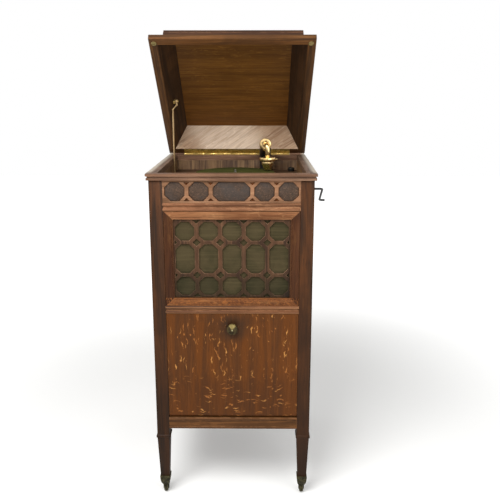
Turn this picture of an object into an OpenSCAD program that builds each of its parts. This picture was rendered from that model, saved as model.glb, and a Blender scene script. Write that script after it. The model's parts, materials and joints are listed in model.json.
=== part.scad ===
/* [Cabinet] */
// Width of the top rim, the widest part of the cabinet
rim_w = 470; // [440:1:500]
// Depth of the top rim, front edge to back
rim_d = 530; // [500:1:560]
// Height of the rim's top above the floor
rim_z = 990; // [960:1:1020]
// Thickness of the rim moulding
rim_t = 18; // [15:0.5:22]
// Overhang of the rim past the body at the front and sides
rim_over = 7.5; // [5:0.5:11]
// Width of the rim's flat top at the front and sides
rim_face_w = 29; // [26:0.5:33]
// Width of the rim's flat top at the back
rim_back_w = 25; // [22:0.5:28]
// Width of the square corner posts
post_w = 37; // [33:0.5:42]
// Thickness of the side and back panels
panel_t = 12; // [9:0.5:15]
// How far the side and back panels lie inside the posts' faces
panel_inset = 3; // [1:0.5:6]
// Thickness of the shelf and the bottom board
shelf_t = 12; // [9:0.5:15]

/* [Front] */
// Height of the carved frieze under the rim
frieze_h = 63; // [56:1:72]
// Height of the moulding between frieze and grille
mid_mould_h = 23; // [18:0.5:28]
// Height of the grille frame
grille_h = 274; // [250:1:300]
// Height of the moulding between grille and door
low_mould_h = 24; // [18:0.5:28]
// Height of the drop door
door_h = 326; // [300:1:350]
// Height of the rail under the door
rail_h = 37; // [30:1:45]
// Thickness of the drop door
door_t = 18; // [15:0.5:21]
// Gap round the door and round the grille frame
front_gap = 1; // [0.5:0.1:1.5]
// Height of the knob's axis above the door's lower edge
knob_up = 283; // [250:1:290]
// Width of the octagonal knob head
knob_d = 30; // [26:0.5:34]
// How far the knob stands out from the door
knob_out = 22; // [18:0.5:26]

/* [Fretwork] */
// Width of the round octagon openings in the frieze
frieze_oct_w = 56; // [50:0.5:60]
// Height of the octagon openings in the frieze
frieze_oct_h = 54; // [48:0.5:55]
// Width of the frieze's plain ends
frieze_end = 5.7; // [4:0.1:8]
// Width of the bars between the frieze openings
frieze_bar = 10.4; // [8:0.2:12]
// Thickness of the frieze fretwork
frieze_fret_t = 5; // [4:0.5:6]
// Width of the grille frame's upright bars
frame_bar_w = 26; // [22:0.5:30]
// Width of the grille frame's level bars
frame_rail_w = 22; // [18:0.5:26]
// Thickness of the grille frame
frame_t = 16; // [14:0.5:20]
// Number of columns of openings in the grille
grille_cols = 5; // [3:1:7]
// Width of the bars between the grille openings
grille_bar = 12; // [9:0.5:14]
// Share of the grille's height taken by the tall middle row
mid_row_share = 0.44; // [0.34:0.01:0.48]
// Thickness of the grille fretwork
grille_fret_t = 5; // [4:0.5:7]
// How far the grille fretwork lies behind the frame's face
grille_recess = 6; // [4:0.5:8]

/* [Legs] */
// Distance of the leg's collar below the cabinet
collar_drop = 21; // [15:1:30]
// Height of the collar itself
collar_h = 10; // [7:0.5:13]
// How far the collar stands out from the leg
collar_out = 2.5; // [1.5:0.5:4]
// Width of the leg at its foot
foot_w = 25; // [22:0.5:25.5]
// Height of the leg's foot above the floor
foot_z = 44; // [42:1:50]
// How far the ferrule cup reaches up the foot
ferrule_up = 18; // [12:1:24]
// Width of the ferrule cup at its mouth
ferrule_w = 31; // [30.5:0.5:34]
// Diameter of the caster wheel
wheel_d = 28; // [24:0.5:31]
// Width of the caster wheel
wheel_w = 12; // [10:0.5:14]
// Distance of the wheel's axle behind the swivel stem
caster_trail = 6; // [4:0.5:7]

/* [Record well] */
// Depth of the motor board's top below the rim
board_drop = 50; // [45:1:56]
// Thickness of the motor board
board_t = 15; // [12:0.5:18]
// Radius of the turntable
table_r = 127; // [115:1:135]
// Distance of the spindle behind the middle of the cabinet
spindle_y = 67; // [55:1:75]
// Height of the turntable's felt above the motor board
felt_up = 13; // [11:0.5:16]
// Thickness of the felt
felt_t = 2; // [1.5:0.1:2.5]
// Radius of the spindle's tip
spindle_r = 3.6; // [3.4:0.05:3.7]
// Height of the spindle's tip above the felt
spindle_up = 9; // [7:0.5:12]

/* [Lid] */
// Angle at which the open lid stands
lid_open = 42.1; // [35:0.1:50]
// Height of the lid's straight edge band
lid_band_h = 15; // [12:0.5:20]
// Height of the lid's ceiling above its edge
lid_ceiling = 69; // [60:1:76]
// Thickness of the lid's top board
lid_board_t = 10; // [7:0.5:12]
// Width of the lid's lower edge face
lid_face_w = 23.5; // [20:0.5:26]
// How far the raised top is set in at the sides
lid_set_side = 32; // [28:0.5:36]
// How far the raised top is set in at the front and back
lid_set_front = 44; // [40:0.5:48]
// Height of the lid's outer slopes, from its band to the raised top
lid_shoulder_h = 40; // [36:0.5:44]
// How far the inner slopes draw in from the edge to the ceiling
lid_slope_in = 40; // [36:0.5:44]
// Gap between the closed lid and the rim
lid_gap = 2; // [1.8:0.1:2.6]
// Length of the long brass hinge
hinge_len = 365; // [320:1:400]
// Radius of the hinge's knuckles
knuckle_r = 3.5; // [3:0.1:4]
// Thickness of the hinge's leaves
leaf_t = 0.8; // [0.6:0.05:0.85]
// Diameter of the brass bumpers under the lid
bumper_d = 15; // [12:0.5:17]
// Radius of the lid stay's rod
stay_r = 2.5; // [2:0.1:3]
// Distance of the stay's pivot from the lid's hinge
stay_u = 240; // [225:1:255]

/* [Sound arm] */
// Radius of the black horn neck
neck_r = 19; // [17:0.25:20]
// Distance of the neck's pivot right of the middle
neck_x = 97; // [85:1:105]
// Distance of the neck's pivot in front of the well's back
neck_back = 27; // [26:0.5:34]
// Radius of the neck's bend
neck_bend = 88; // [80:1:92]
// Height of the neck's mouth above the motor board
neck_up = 97; // [90:1:99]
// Radius of the brass nut at the neck's mouth
nut_r = 19.5; // [18:0.25:21]
// Radius of the brass elbow tube
elbow_r = 8; // [7:0.25:9]
// Radius of the sound box
box_r = 26.5; // [24:0.5:29]
// Thickness of the sound box
box_t = 10; // [8:0.5:12]
// Height of the sound box's middle above the motor board
box_up = 51; // [48:0.5:54]

/* [Motor] */
// Height of the winding shaft below the rim
crank_drop = 80; // [78:0.5:88]
// Length of the crank's arm
crank_arm = 111; // [95:1:125]
// Reach of the crank's arm out from the cabinet's side
crank_out = 50; // [42:1:60]
// Length of the bare stub at the end of the arm
crank_stub = 14; // [10:1:20]
// Radius of the crank's rod
crank_r = 3.5; // [3:0.1:4.5]
// Angle by which the crank hangs back from straight down
crank_tilt = 62; // [40:1:80]
// Teeth on the barrel's great wheel
barrel_teeth = 60; // [54:1:66]
// Teeth on the spindle's pinion
pinion_teeth = 12; // [10:1:14]
// Tooth module of the motor's wheels
tooth_m = 2; // [1.8:0.1:2.2]
// Teeth on the crown wheel of the winding gear
crown_teeth = 36; // [32:1:40]
// Teeth on the winding pinion
wind_teeth = 12; // [10:1:12]

/* [Hidden] */
$fn = 48;

// Running clearance of pins, shafts and bushes
run = 0.06;
// Smallest amount by which a cutter passes a face
past = 1;
// Gap under a loose piece that rests on another
seat_gap = 0.3;

body_half = rim_w / 2 - rim_over;
front_y = -rim_d / 2 + rim_over;
back_y = rim_d / 2;
well_half = rim_w / 2 - rim_face_w;
well_front = -rim_d / 2 + rim_face_w;
well_back = back_y - rim_back_w;
post_in = body_half - post_w;
post_x = body_half - post_w / 2;
front_post_y = front_y + post_w / 2;
back_post_y = back_y - post_w / 2;
panel_out = body_half - panel_inset;
panel_in = panel_out - panel_t;
back_panel_in = back_y - panel_inset - panel_t;

rim_low = rim_z - rim_t;
frieze_low = rim_low - frieze_h;
grille_top = frieze_low - mid_mould_h;
grille_low = grille_top - grille_h;
door_top = grille_low - low_mould_h;
door_low = door_top - door_h;
rail_z = door_low - rail_h;
collar_z = rail_z - collar_drop;
shelf_top = grille_low - 10;
board_top = rim_z - board_drop;
board_low = board_top - board_t;
ledge_h = 15;
ledge_w = 15;
lining_low = board_low - ledge_h;
lining_front = front_y + 12;

// Post and stay places that the other pieces follow
stem_r = 5;
stem_up = 32;
pivot_r = 3;
pivot_reach = 10;
pivot_z = door_low + front_gap + door_t / 2;
pivot_y = front_y + front_gap + door_t / 2;

// Lid hinge: its axis runs behind the rim, half way up the gap
hinge_off = knuckle_r + 0.3;
hinge_y = back_y + hinge_off;
hinge_z = rim_z + lid_gap / 2;
lid_foot = lid_gap / 2;
lid_wall_top = lid_foot + lid_ceiling;
lid_top = lid_wall_top + lid_board_t;
lid_half = rim_w / 2;
lid_rear = -hinge_off;
lid_front = -hinge_off - rim_d;
knuckles = 16;

// Lid stay: pivot on the lid, and the slotted guide that the rod slides through. Below its
// eye, past the bracket, the rod steps out from the eye's plane to its own
stay_n = 30;
stay_x = -(well_half - 6);
stay_eye_x = stay_x + 12.5;
stay_eye_r = 5.5;
stay_eye_half = 3;
stay_ball_r = 3.6;
stay_step_from = 12;
stay_step_to = 26;
stay_pivot_y = hinge_y - stay_u * cos(lid_open) + stay_n * sin(lid_open);
stay_pivot_z = hinge_z + stay_u * sin(lid_open) + stay_n * cos(lid_open);
guide_y = stay_pivot_y + 8.5;
guide_z = board_low - 80;
stay_lean = atan2(guide_y - stay_pivot_y, stay_pivot_z - guide_z);
stay_len = norm([guide_y - stay_pivot_y, stay_pivot_z - guide_z]) + 18;
stay_slot_half = 9.5;
stay_pin_r = 2;

// Record player
tip_relief = 0.5;
felt_z = board_top + felt_up;
spindle_top = felt_z + spindle_up;
neck_y = well_back - neck_back;
neck_top = board_top + neck_up;
neck_wall = 3;
mouth_y = neck_y - neck_bend;
nut_len = 10;
nut_front = mouth_y - nut_len;
elbow_yaw = 27;
elbow_bend = 12;
elbow_run = 2;
elbow_reach = elbow_run + elbow_bend;
box_x = neck_x + elbow_reach * sin(elbow_yaw);
box_y = nut_front - elbow_reach * cos(elbow_yaw);
box_z = board_top + box_up;
weight_gap = 3;
weight_top = box_z - box_t / 2 - weight_gap;
weight_low = felt_z + 6;
weight_pin_y = box_y + 22;
weight_pin_z = weight_top - 2;
lever_x = 80;
lever_y = well_front + 16;
speed_x = well_half - 21;
speed_y = well_back - 40;

// Motor
crank_z = rim_z - crank_drop;
barrel_pitch = tooth_m * barrel_teeth / 2;
pinion_pitch = tooth_m * pinion_teeth / 2;
crown_pitch = tooth_m * crown_teeth / 2;
wind_pitch = tooth_m * wind_teeth / 2;
barrel_x = -sqrt(pow(barrel_pitch + pinion_pitch, 2) - pow(spindle_y, 2));
tooth_tip = 0.9;
tooth_root = 1.25;
face_w = 10;
plate_t = 6;
plate_top = board_low;
crown_z = crank_z - wind_pitch - tooth_root * tooth_m;
wind_x = barrel_x + crown_pitch - face_w / 2;
motor_h = 72;
motor_low = crown_z - motor_h;
great_z = motor_low + plate_t + 1;
great_t = 8;
drum_z = great_z + great_t;
drum_top = crown_z - 10;
drum_r = barrel_pitch - 8;
arbor_r = 5;
shaft_r = 6;
motor_x0 = barrel_x - barrel_pitch - 14;
motor_x1 = 82;
motor_y0 = -barrel_pitch - 15;
motor_y1 = spindle_y + 35;
pillar_r = 5;
worm_teeth = 24;
worm_m = 1.2;
worm_pitch = worm_m * worm_teeth / 2;
worm_r = 5;
governor_y = spindle_y + worm_pitch + worm_m + worm_r + 0.4;
governor_z = drum_top - 10;
governor_half = 58;

// Frame: the middle of the whole object's box, crank and open lid included
reach_x = body_half + crank_out + crank_stub;
reach_front = front_y + front_gap - knob_out;
reach_back = hinge_y + lid_top * sin(lid_open) - (hinge_off + lid_set_front) * cos(lid_open);
frame_x = (reach_x - rim_w / 2) / 2;
frame_y = (reach_front + reach_back) / 2;

oak = [0.36, 0.23, 0.15];
oak_light = [0.5, 0.33, 0.2];
oak_dark = [0.25, 0.16, 0.1];
brass = [0.75, 0.6, 0.3];
steel = [0.45, 0.45, 0.43];
iron = [0.1, 0.1, 0.09];
bronze = [0.32, 0.31, 0.22];

// Helpers

module in_frame() {
    translate([-frame_x, -frame_y, 0])
        children();
}

module box(low, high) {
    translate(low)
        cube(high - low);
}

// A cylinder along X, starting at a point
module rod_x(at, r, length) {
    translate(at)
        rotate([0, 90, 0])
            cylinder(r = r, h = length);
}

// A cylinder along -Y, starting at a point
module rod_front(at, r, length) {
    translate(at)
        rotate([90, 0, 0])
            cylinder(r = r, h = length);
}

// A block whose four sides slope: base and top rectangles as [x0, x1, y0, y1]
module sloped_block(base, top, z0, z1) {
    y_far = max(base[3], top[3]);
    y_near = min(base[2], top[2]);
    x_near = min(base[0], top[0]);
    x_far = max(base[1], top[1]);
    intersection() {
        translate([0, y_far, 0])
            rotate([90, 0, 0])
                linear_extrude(y_far - y_near)
                    polygon([[base[0], z0], [base[1], z0], [top[1], z1], [top[0], z1]]);
        translate([x_near, 0, 0])
            rotate([90, 0, 90])
                linear_extrude(x_far - x_near)
                    polygon([[base[2], z0], [base[3], z0], [top[3], z1], [top[2], z1]]);
    }
}

// An upright octagon plate facing the front, its front face at y
module octagon_plate(x, y, z, w, h, cut, t) {
    translate([x, y + t, z])
        rotate([90, 0, 0])
            linear_extrude(t)
                polygon([
                    [-w / 2 + cut, -h / 2], [w / 2 - cut, -h / 2], [w / 2, -h / 2 + cut], [w / 2,
                        h / 2 - cut],
                    [w / 2 - cut, h / 2], [-w / 2 + cut, h / 2], [-w / 2, h / 2 - cut], [-w / 2,
                        -h / 2 + cut]]);
}

// An upright diamond plate facing the front
module diamond_plate(x, y, z, half_w, half_h, t) {
    translate([x, y + t, z])
        rotate([90, 0, 0])
            linear_extrude(t)
                polygon([[-half_w, 0], [0, -half_h], [half_w, 0], [0, half_h]]);
}

// A toothed wheel with straight-sided teeth, a tooth on +X when turned by 0
module toothed_wheel(teeth, m, t) {
    pitch = 360 / teeth;
    root = m * teeth / 2 - tooth_root * m;
    tip = m * teeth / 2 + tooth_tip * m;
    linear_extrude(t)
        polygon([for (i = [0:teeth - 1]) for (p = [[-0.3, root], [-0.11, tip], [0.11, tip], [0.3, root]])
            [p[1] * cos((i + p[0]) * pitch), p[1] * sin((i + p[0]) * pitch)]]);
}

// Cabinet

module leg_post() {
    half = post_w / 2;
    foot = foot_w / 2;
    collar = half + collar_out;
    collar_low = collar_z - collar_h;
    difference() {
        union() {
            box([-half, -half, collar_low], [half, half, rim_low]);
            box([-collar, -collar, collar_low + 2], [collar, collar, collar_z - 2]);
            sloped_block([-foot, foot, -foot, foot], [-half, half, -half, half], foot_z, collar_low);
            sloped_block([-half, half, -half, half], [-collar, collar, -collar, collar], collar_low,
                collar_low + 2);
            sloped_block([-collar, collar, -collar, collar], [-half, half, -half, half], collar_z - 2,
                collar_z);
        }
        translate([0, 0, foot_z - past])
            cylinder(r = stem_r + run, h = stem_up + 2 + past);
    }
}

module well_cut() {
    box([-panel_in, lining_front, lining_low], [panel_in, back_panel_in, rim_low + past]);
}

module front_posts() {
    color(oak_dark)
        in_frame()
            difference() {
                for (side = [-1, 1])
                    translate([side * post_x, front_post_y, 0])
                        leg_post();
                well_cut();
                rod_x([-post_in - pivot_reach, pivot_y, pivot_z], pivot_r, 2 * (post_in + pivot_reach));
            }
}

module back_posts() {
    color(oak_dark)
        in_frame()
            difference() {
                for (side = [-1, 1])
                    translate([side * post_x, back_post_y, 0])
                        leg_post();
                well_cut();
            }
}

bush_r = 10;

module side_panel() {
    box([panel_in, front_y + post_w, rail_z], [panel_out, back_y - post_w, rim_low]);
}

module left_side_panel() {
    color(oak_dark)
        in_frame()
            mirror([1, 0, 0])
                side_panel();
}

module right_side_panel() {
    color(oak_dark)
        in_frame()
            difference() {
                side_panel();
                rod_x([panel_in - past, 0, crank_z], bush_r, panel_t + 2 * past);
            }
}

module back_panel() {
    color(oak_dark)
        in_frame()
            box([-post_in, back_panel_in, rail_z], [post_in, back_panel_in + panel_t, rim_low]);
}

// A board across the whole inside, notched round the four posts
module inner_board(z_top) {
    difference() {
        box([-panel_in, front_y + post_w / 2, z_top - shelf_t], [panel_in, back_panel_in, z_top]);
        for (side = [-1, 1]) {
            x0 = side > 0 ? post_in : -panel_in - past;
            box([x0, front_y, z_top - shelf_t - past],
                [x0 + panel_in - post_in + past, front_y + post_w, z_top + past]);
            box([x0, back_y - post_w, z_top - shelf_t - past],
                [x0 + panel_in - post_in + past, back_y, z_top + past]);
        }
    }
}

module bottom_board() {
    color(oak_dark)
        in_frame()
            inner_board(door_low);
}

module horn_shelf() {
    color(oak_dark)
        in_frame()
            inner_board(shelf_top);
}

module front_bottom_rail() {
    bead_r = 4;
    color(oak_light)
        in_frame() {
            box([-post_in, front_y, rail_z], [post_in, front_y + post_w / 2, door_low]);
            rod_x([-post_in, front_y + 2, door_low - bead_r - 2], bead_r, 2 * post_in);
            rod_x([-post_in, front_y + 2, rail_z + bead_r], bead_r - 0.5, 2 * post_in);
        }
}

divider_t = 6;
divider_h = 150;
divider_count = 5;
divider_front = front_y + door_t + 12;

module record_dividers() {
    step = 2 * post_in / (divider_count + 1);
    color(oak_light)
        in_frame()
            for (i = [1:divider_count])
                box([-post_in + i * step - divider_t / 2, divider_front, door_low],
                    [-post_in + i * step + divider_t / 2, back_panel_in, door_low + divider_h]);
}

module top_rim() {
    fillet = 7;
    cove = 5;
    batten_h = 16;
    bead_r = knuckle_r - 0.1;
    bead_end = rim_w / 2 - 2;
    color(oak)
        in_frame()
            difference() {
                union() {
                    // Behind the rim, beads carry the line of the hinge out to the corners
                    for (x = [[-bead_end, -hinge_len / 2 - 0.5], [hinge_len / 2 + 0.5, bead_end]]) {
                        box([x[0], back_y - 1, rim_z - batten_h], [x[1], hinge_y + bead_r, rim_z]);
                        rod_x([x[0], hinge_y, hinge_z], bead_r, x[1] - x[0]);
                    }
                    box([-rim_w / 2, -rim_d / 2, rim_z - fillet], [rim_w / 2, back_y, rim_z]);
                    box([-rim_w / 2 + 4, -rim_d / 2 + 4, rim_z - fillet - cove], [rim_w / 2 - 4,
                        back_y, rim_z - fillet]);
                    box([-rim_w / 2 + 1.5, -rim_d / 2 + 1.5, rim_low],
                        [rim_w / 2 - 1.5, back_y, rim_z - fillet - cove]);
                }
                box([-well_half, well_front, rim_low - past], [well_half, well_back, rim_z + past]);
            }
}

stay_notch_y0 = hinge_y - stay_u + 1;
stay_notch_y1 = guide_y + 26;

module well_lining() {
    color(oak)
        in_frame()
            difference() {
                box([-panel_in, lining_front, lining_low], [panel_in, back_panel_in, rim_low]);
                box([-well_half, well_front, board_low], [well_half, well_back, rim_low + past]);
                box([-well_half + ledge_w, well_front + ledge_w, lining_low - past],
                    [well_half - ledge_w, well_back - ledge_w, board_low + past]);
                box([-well_half, stay_notch_y0, lining_low - past],
                    [-well_half + ledge_w + past, stay_notch_y1, board_low + past]);
                box([lever_x - 24, well_front, lining_low - past],
                    [lever_x + 24, well_front + ledge_w + past, board_low + past]);
                translate([speed_x, speed_y, lining_low - past])
                    cylinder(r = 12, h = ledge_h + 2 * past);
                translate([neck_x, neck_y, lining_low - past])
                    cylinder(r = horn_flange_r + 1, h = ledge_h + 2 * past);
                rod_x([well_half - ledge_w - past, 0, crank_z], bush_r + 2,
                    ledge_w + panel_in - well_half + 2 * past);
            }
}

horn_wall = 3;
horn_throat = neck_r + 0.4 + horn_wall;
horn_flange_r = neck_r + 9;
lever_slot = 22;
lever_r = 2.5;
speed_shaft_r = 4;

module motor_board() {
    fit = 0.5;
    color(oak)
        in_frame()
            difference() {
                box([-well_half + fit, well_front + fit, board_low], [well_half - fit, well_back - fit,
                    board_top]);
                translate([0, spindle_y, board_low - past])
                    cylinder(r = shaft_r + 6, h = board_t + 2 * past);
                translate([neck_x, neck_y, board_low - past])
                    cylinder(r = neck_r + 1, h = board_t + 2 * past);
                translate([speed_x, speed_y, board_low - past])
                    cylinder(r = speed_shaft_r + run, h = board_t + 2 * past);
                box([lever_x - lever_r - 0.4, lever_y - lever_r - 0.4, board_low - past],
                    [lever_x + lever_slot - lever_r, lever_y + lever_r + 0.4, board_top + past]);
                box([-well_half, stay_notch_y0 + 15, board_low - past],
                    [-well_half + 14, stay_notch_y1 - 10, board_top + past]);
            }
}

// Front

frieze_z = frieze_low + frieze_h / 2;
frieze_face = front_y + 1;
frieze_back = frieze_face + frieze_fret_t;
frieze_cut = 16;
frieze_slant = 8;
frieze_step = frieze_oct_w + frieze_bar;
frieze_mid_w = 2 * (post_in - frieze_end) - 4 * frieze_step;
frieze_near = frieze_mid_w / 2 + frieze_bar + frieze_oct_w / 2;
frieze_places = [[0, frieze_mid_w], [frieze_near, frieze_oct_w], [-frieze_near, frieze_oct_w],
    [frieze_near + frieze_step, frieze_oct_w], [-frieze_near - frieze_step, frieze_oct_w]];
frieze_joints = [frieze_near - frieze_step / 2, frieze_near + frieze_step / 2];

module frieze_board() {
    color(oak_light)
        in_frame()
            box([-post_in, frieze_back, frieze_low], [post_in, lining_front, rim_low]);
}

module frieze_fret() {
    tri = frieze_bar / 2 + frieze_cut - frieze_slant * sqrt(2);
    color(oak_light)
        in_frame()
            difference() {
                box([-post_in, frieze_face, frieze_low], [post_in, frieze_back, rim_low]);
                for (place = frieze_places)
                    octagon_plate(place[0], frieze_face - past, frieze_z, place[1], frieze_oct_h, frieze_cut,
                        frieze_fret_t + 2 * past);
                for (side = [-1, 1])
                    for (x = frieze_joints)
                        for (end = [-1, 1])
                            intersection() {
                                diamond_plate(side * x, frieze_face - past, frieze_z + end * frieze_oct_h / 2,
                                    tri, tri, frieze_fret_t + 2 * past);
                                box([side * x - tri, frieze_face - past, frieze_z - frieze_oct_h / 2 + 1],
                                    [side * x + tri, frieze_back + past, frieze_z + frieze_oct_h / 2 - 1]);
                            }
            }
}

module frieze_plaques() {
    gap = 1.2;
    t = 2.2;
    color([0.3, 0.28, 0.25])
        in_frame()
            for (place = frieze_places)
                octagon_plate(place[0], frieze_back - t, frieze_z, place[1] - 2 * gap, frieze_oct_h - 2 * gap,
                    frieze_cut - gap * 0.6, t);
}

// A beaded rail between the front posts
module front_moulding(z0, z1, bead_r) {
    box([-post_in, front_y + bead_r - 1.5, z0], [post_in, front_y + post_w / 2, z1]);
    rod_x([-post_in, front_y + bead_r - 1.5, z1 - bead_r], bead_r, 2 * post_in);
    rod_x([-post_in, front_y + bead_r - 1.5, z0 + bead_r], bead_r, 2 * post_in);
}

module mid_moulding() {
    color(oak_light)
        in_frame()
            front_moulding(grille_top, frieze_low, 4.5);
}

module low_moulding() {
    color(oak_light)
        in_frame()
            front_moulding(door_top, grille_low, 4.5);
}

frame_face = front_y + front_gap;
frame_half = post_in - front_gap;
frame_z0 = grille_low + seat_gap;
frame_z1 = grille_top - front_gap;
open_half = frame_half - frame_bar_w;
open_z0 = frame_z0 + frame_rail_w;
open_z1 = frame_z1 - frame_rail_w;
rabbet = 5;
fret_face = frame_face + grille_recess;
fret_back = fret_face + grille_fret_t;
cloth_t = 1;

module grille_frame() {
    color(oak_light)
        in_frame()
            difference() {
                box([-frame_half, frame_face, frame_z0], [frame_half, frame_face + frame_t, frame_z1]);
                box([-open_half, frame_face - past, open_z0], [open_half, frame_face + frame_t + past,
                    open_z1]);
                box([-open_half - rabbet, fret_face, open_z0 - rabbet],
                    [open_half + rabbet, frame_face + frame_t + past, open_z1 + rabbet]);
                for (z = [open_z0 - 4, open_z1 + 4])
                    rod_x([-open_half - 4, frame_face, z], 1.2, 2 * open_half + 8);
                for (x = [-open_half - 4, open_half + 4])
                    translate([x, frame_face, open_z0 - 4])
                        cylinder(r = 1.2, h = open_z1 - open_z0 + 8);
            }
}

grille_edge = 4.5;
row_edge = 8;
row_bar = 10;
grille_cut = 15;
grille_slant = 6.5;
column_w = (2 * open_half - 2 * grille_edge - (grille_cols - 1) * grille_bar) / grille_cols;
column_step = column_w + grille_bar;
rows_h = open_z1 - open_z0 - 2 * row_edge - 2 * row_bar;
mid_row_h = rows_h * mid_row_share;
end_row_h = (rows_h - mid_row_h) / 2;
row_low_z = open_z0 + row_edge + end_row_h / 2;
row_mid_z = (open_z0 + open_z1) / 2;
row_top_z = open_z1 - row_edge - end_row_h / 2;
grille_rows = [[row_low_z, end_row_h], [row_mid_z, mid_row_h], [row_top_z, end_row_h]];
bar_rows = [open_z0 + row_edge - row_bar / 2, row_low_z + end_row_h / 2 + row_bar / 2,
    row_top_z - end_row_h / 2 - row_bar / 2, open_z1 - row_edge + row_bar / 2];

module grille_fret() {
    half = grille_cut + grille_bar / 2 - grille_slant * sqrt(2);
    border = 3;
    color(oak)
        in_frame()
            difference() {
                box([-open_half - rabbet, fret_face, open_z0 - rabbet], [open_half + rabbet, fret_back,
                    open_z1 + rabbet]);
                for (i = [0:grille_cols - 1])
                    for (row = grille_rows)
                        octagon_plate((i - (grille_cols - 1) / 2) * column_step, fret_face - past, row[0],
                            column_w, row[1], grille_cut, grille_fret_t + 2 * past);
                intersection() {
                    for (i = [0:grille_cols])
                        for (z = bar_rows)
                            diamond_plate((i - grille_cols / 2) * column_step, fret_face - past, z,
                                half, half - 1,
                                grille_fret_t + 2 * past);
                    union() {
                        box([-open_half + column_step / 2, fret_face - past, open_z0 + border],
                            [open_half - column_step / 2, fret_back + past, open_z1 - border]);
                        box([-open_half + border, fret_face - past, open_z0 + column_step / 2],
                            [open_half - border, fret_back + past, open_z1 - column_step / 2]);
                    }
                }
            }
}

module grille_cloth() {
    color([0.33, 0.32, 0.2])
        in_frame()
            box([-open_half - rabbet, fret_back, open_z0 - rabbet],
                [open_half + rabbet, fret_back + cloth_t, open_z1 + rabbet]);
}

// Drop door

knob_z = door_low + knob_up;
knob_stem_r = 3;
knob_stem = 12;

module drop_door() {
    half = post_in - front_gap;
    face = front_y + front_gap;
    color(oak)
        in_frame()
            difference() {
                union() {
                    box([-half, face, pivot_z], [half, face + door_t, door_top - front_gap]);
                    rod_x([-half, pivot_y, pivot_z], door_t / 2, 2 * half);
                }
                for (x = [-half - past, half - pivot_reach])
                    rod_x([x, pivot_y, pivot_z], pivot_r + run, pivot_reach + past);
                for (x = [-half + 4, half - 6])
                    box([x, face - past, pivot_z + 4], [x + 2, face + 1, door_top - front_gap - 4]);
                rod_front([0, face + knob_stem, knob_z], knob_stem_r, knob_stem + past);
            }
}

module door_knob() {
    face = front_y + front_gap;
    head = 7;
    color(brass)
        in_frame() {
            rod_front([0, face + knob_stem, knob_z], knob_stem_r, knob_stem);
            rod_front([0, face, knob_z], knob_d * 0.43, 3);
            rod_front([0, face - 2, knob_z], knob_d * 0.22, knob_out - 2 - head);
            translate([0, face - knob_out + 2 * head - 1, knob_z])
                rotate([90, 22.5, 0])
                    cylinder(r = knob_d * 0.54, h = head, $fn = 8);
            translate([0, face - knob_out + head, knob_z])
                rotate([90, 22.5, 0])
                    cylinder(r1 = knob_d * 0.54, r2 = knob_d * 0.12, h = head, $fn = 8);
        }
}

module door_pivots() {
    color(steel)
        in_frame() {
            inner = post_in - front_gap - pivot_reach + 0.5;
            for (x = [-post_in - pivot_reach, inner])
                rod_x([x, pivot_y, pivot_z], pivot_r, post_in + pivot_reach - inner);
        }
}

// Lid hinge

knuckle_step = hinge_len / knuckles;
knuckle_gap = 0.3;
hinge_pin_r = 1.2;
leaf_w = rim_back_w - 5;

// Every other knuckle of the long hinge, in the hinge's own axes
module knuckle_row(first, bore) {
    for (i = [first:2:knuckles - 1])
        difference() {
            rod_x([-hinge_len / 2 + i * knuckle_step + knuckle_gap / 2, 0, 0], knuckle_r,
                knuckle_step - knuckle_gap);
            if (bore > 0)
                rod_x([-hinge_len / 2 + i * knuckle_step - past, 0, 0], bore, knuckle_step + 2 * past);
        }
}

// One leaf with its knuckles: z is where the leaf's outer face lies
module hinge_leaf(first, bore, z) {
    difference() {
        box([-hinge_len / 2, -hinge_off - leaf_w, z > 0 ? z - leaf_t : z],
            [hinge_len / 2, 0, z > 0 ? z : z + leaf_t]);
        for (i = [0:knuckles - 1])
            if ((i + first) % 2 == 1)
                rod_x([-hinge_len / 2 + i * knuckle_step - 0.2, 0, 0], knuckle_r + 0.3, knuckle_step + 0.4);
        if (bore > 0)
            rod_x([-hinge_len / 2 - past, 0, 0], bore, hinge_len + 2 * past);
    }
    knuckle_row(first, bore);
}

module rim_hinge_leaf() {
    color(brass)
        in_frame()
            translate([0, hinge_y, hinge_z]) {
                hinge_leaf(0, 0, -lid_foot);
                rod_x([-hinge_len / 2, 0, 0], hinge_pin_r, hinge_len);
            }
}

// Places a lid piece drawn shut, with the hinge axis as its X axis, as the open lid
module on_lid() {
    in_frame()
        translate([0, hinge_y, hinge_z])
            rotate([-lid_open, 0, 0])
                children();
}

module lid_hinge_leaf() {
    color(brass)
        on_lid()
            hinge_leaf(1, hinge_pin_r + run, lid_foot);
}

// Lid, drawn shut

// The space inside the lid, widened by the cutters' allowance below
module lid_hollow() {
    a = lid_face_w;
    b = lid_face_w + lid_slope_in;
    sloped_block([-lid_half + a, lid_half - a, lid_front + a, lid_rear - a],
        [-lid_half + b, lid_half - b, lid_front + b, lid_rear - b], lid_foot, lid_wall_top);
}

module lid_walls() {
    band_top = lid_foot + lid_band_h;
    shoulder = band_top + lid_shoulder_h;
    step = 4;
    sink = 1;
    a = lid_face_w;
    b = lid_face_w + lid_slope_in;
    u = lid_set_side;
    v = lid_set_front;
    root_x = step - (u - step) * sink / lid_shoulder_h;
    root_y = step - (v - step) * sink / lid_shoulder_h;
    color(oak)
        on_lid()
            difference() {
                union() {
                    box([-lid_half, lid_front, lid_foot], [lid_half, lid_rear, band_top]);
                    sloped_block([-lid_half + root_x, lid_half - root_x, lid_front + root_y,
                        lid_rear - root_y], [-lid_half + u, lid_half - u, lid_front + v, lid_rear - v],
                        band_top - sink, shoulder);
                    box([-lid_half + u, lid_front + v, shoulder - sink],
                        [lid_half - u, lid_rear - v, lid_wall_top]);
                }
                lid_hollow();
                box([-lid_half + a, lid_front + a, lid_foot - past], [lid_half - a, lid_rear - a,
                    lid_foot + 0.01]);
                box([-lid_half + b, lid_front + b, lid_wall_top - 0.01],
                    [lid_half - b, lid_rear - b, lid_wall_top + past]);
            }
}

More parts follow.
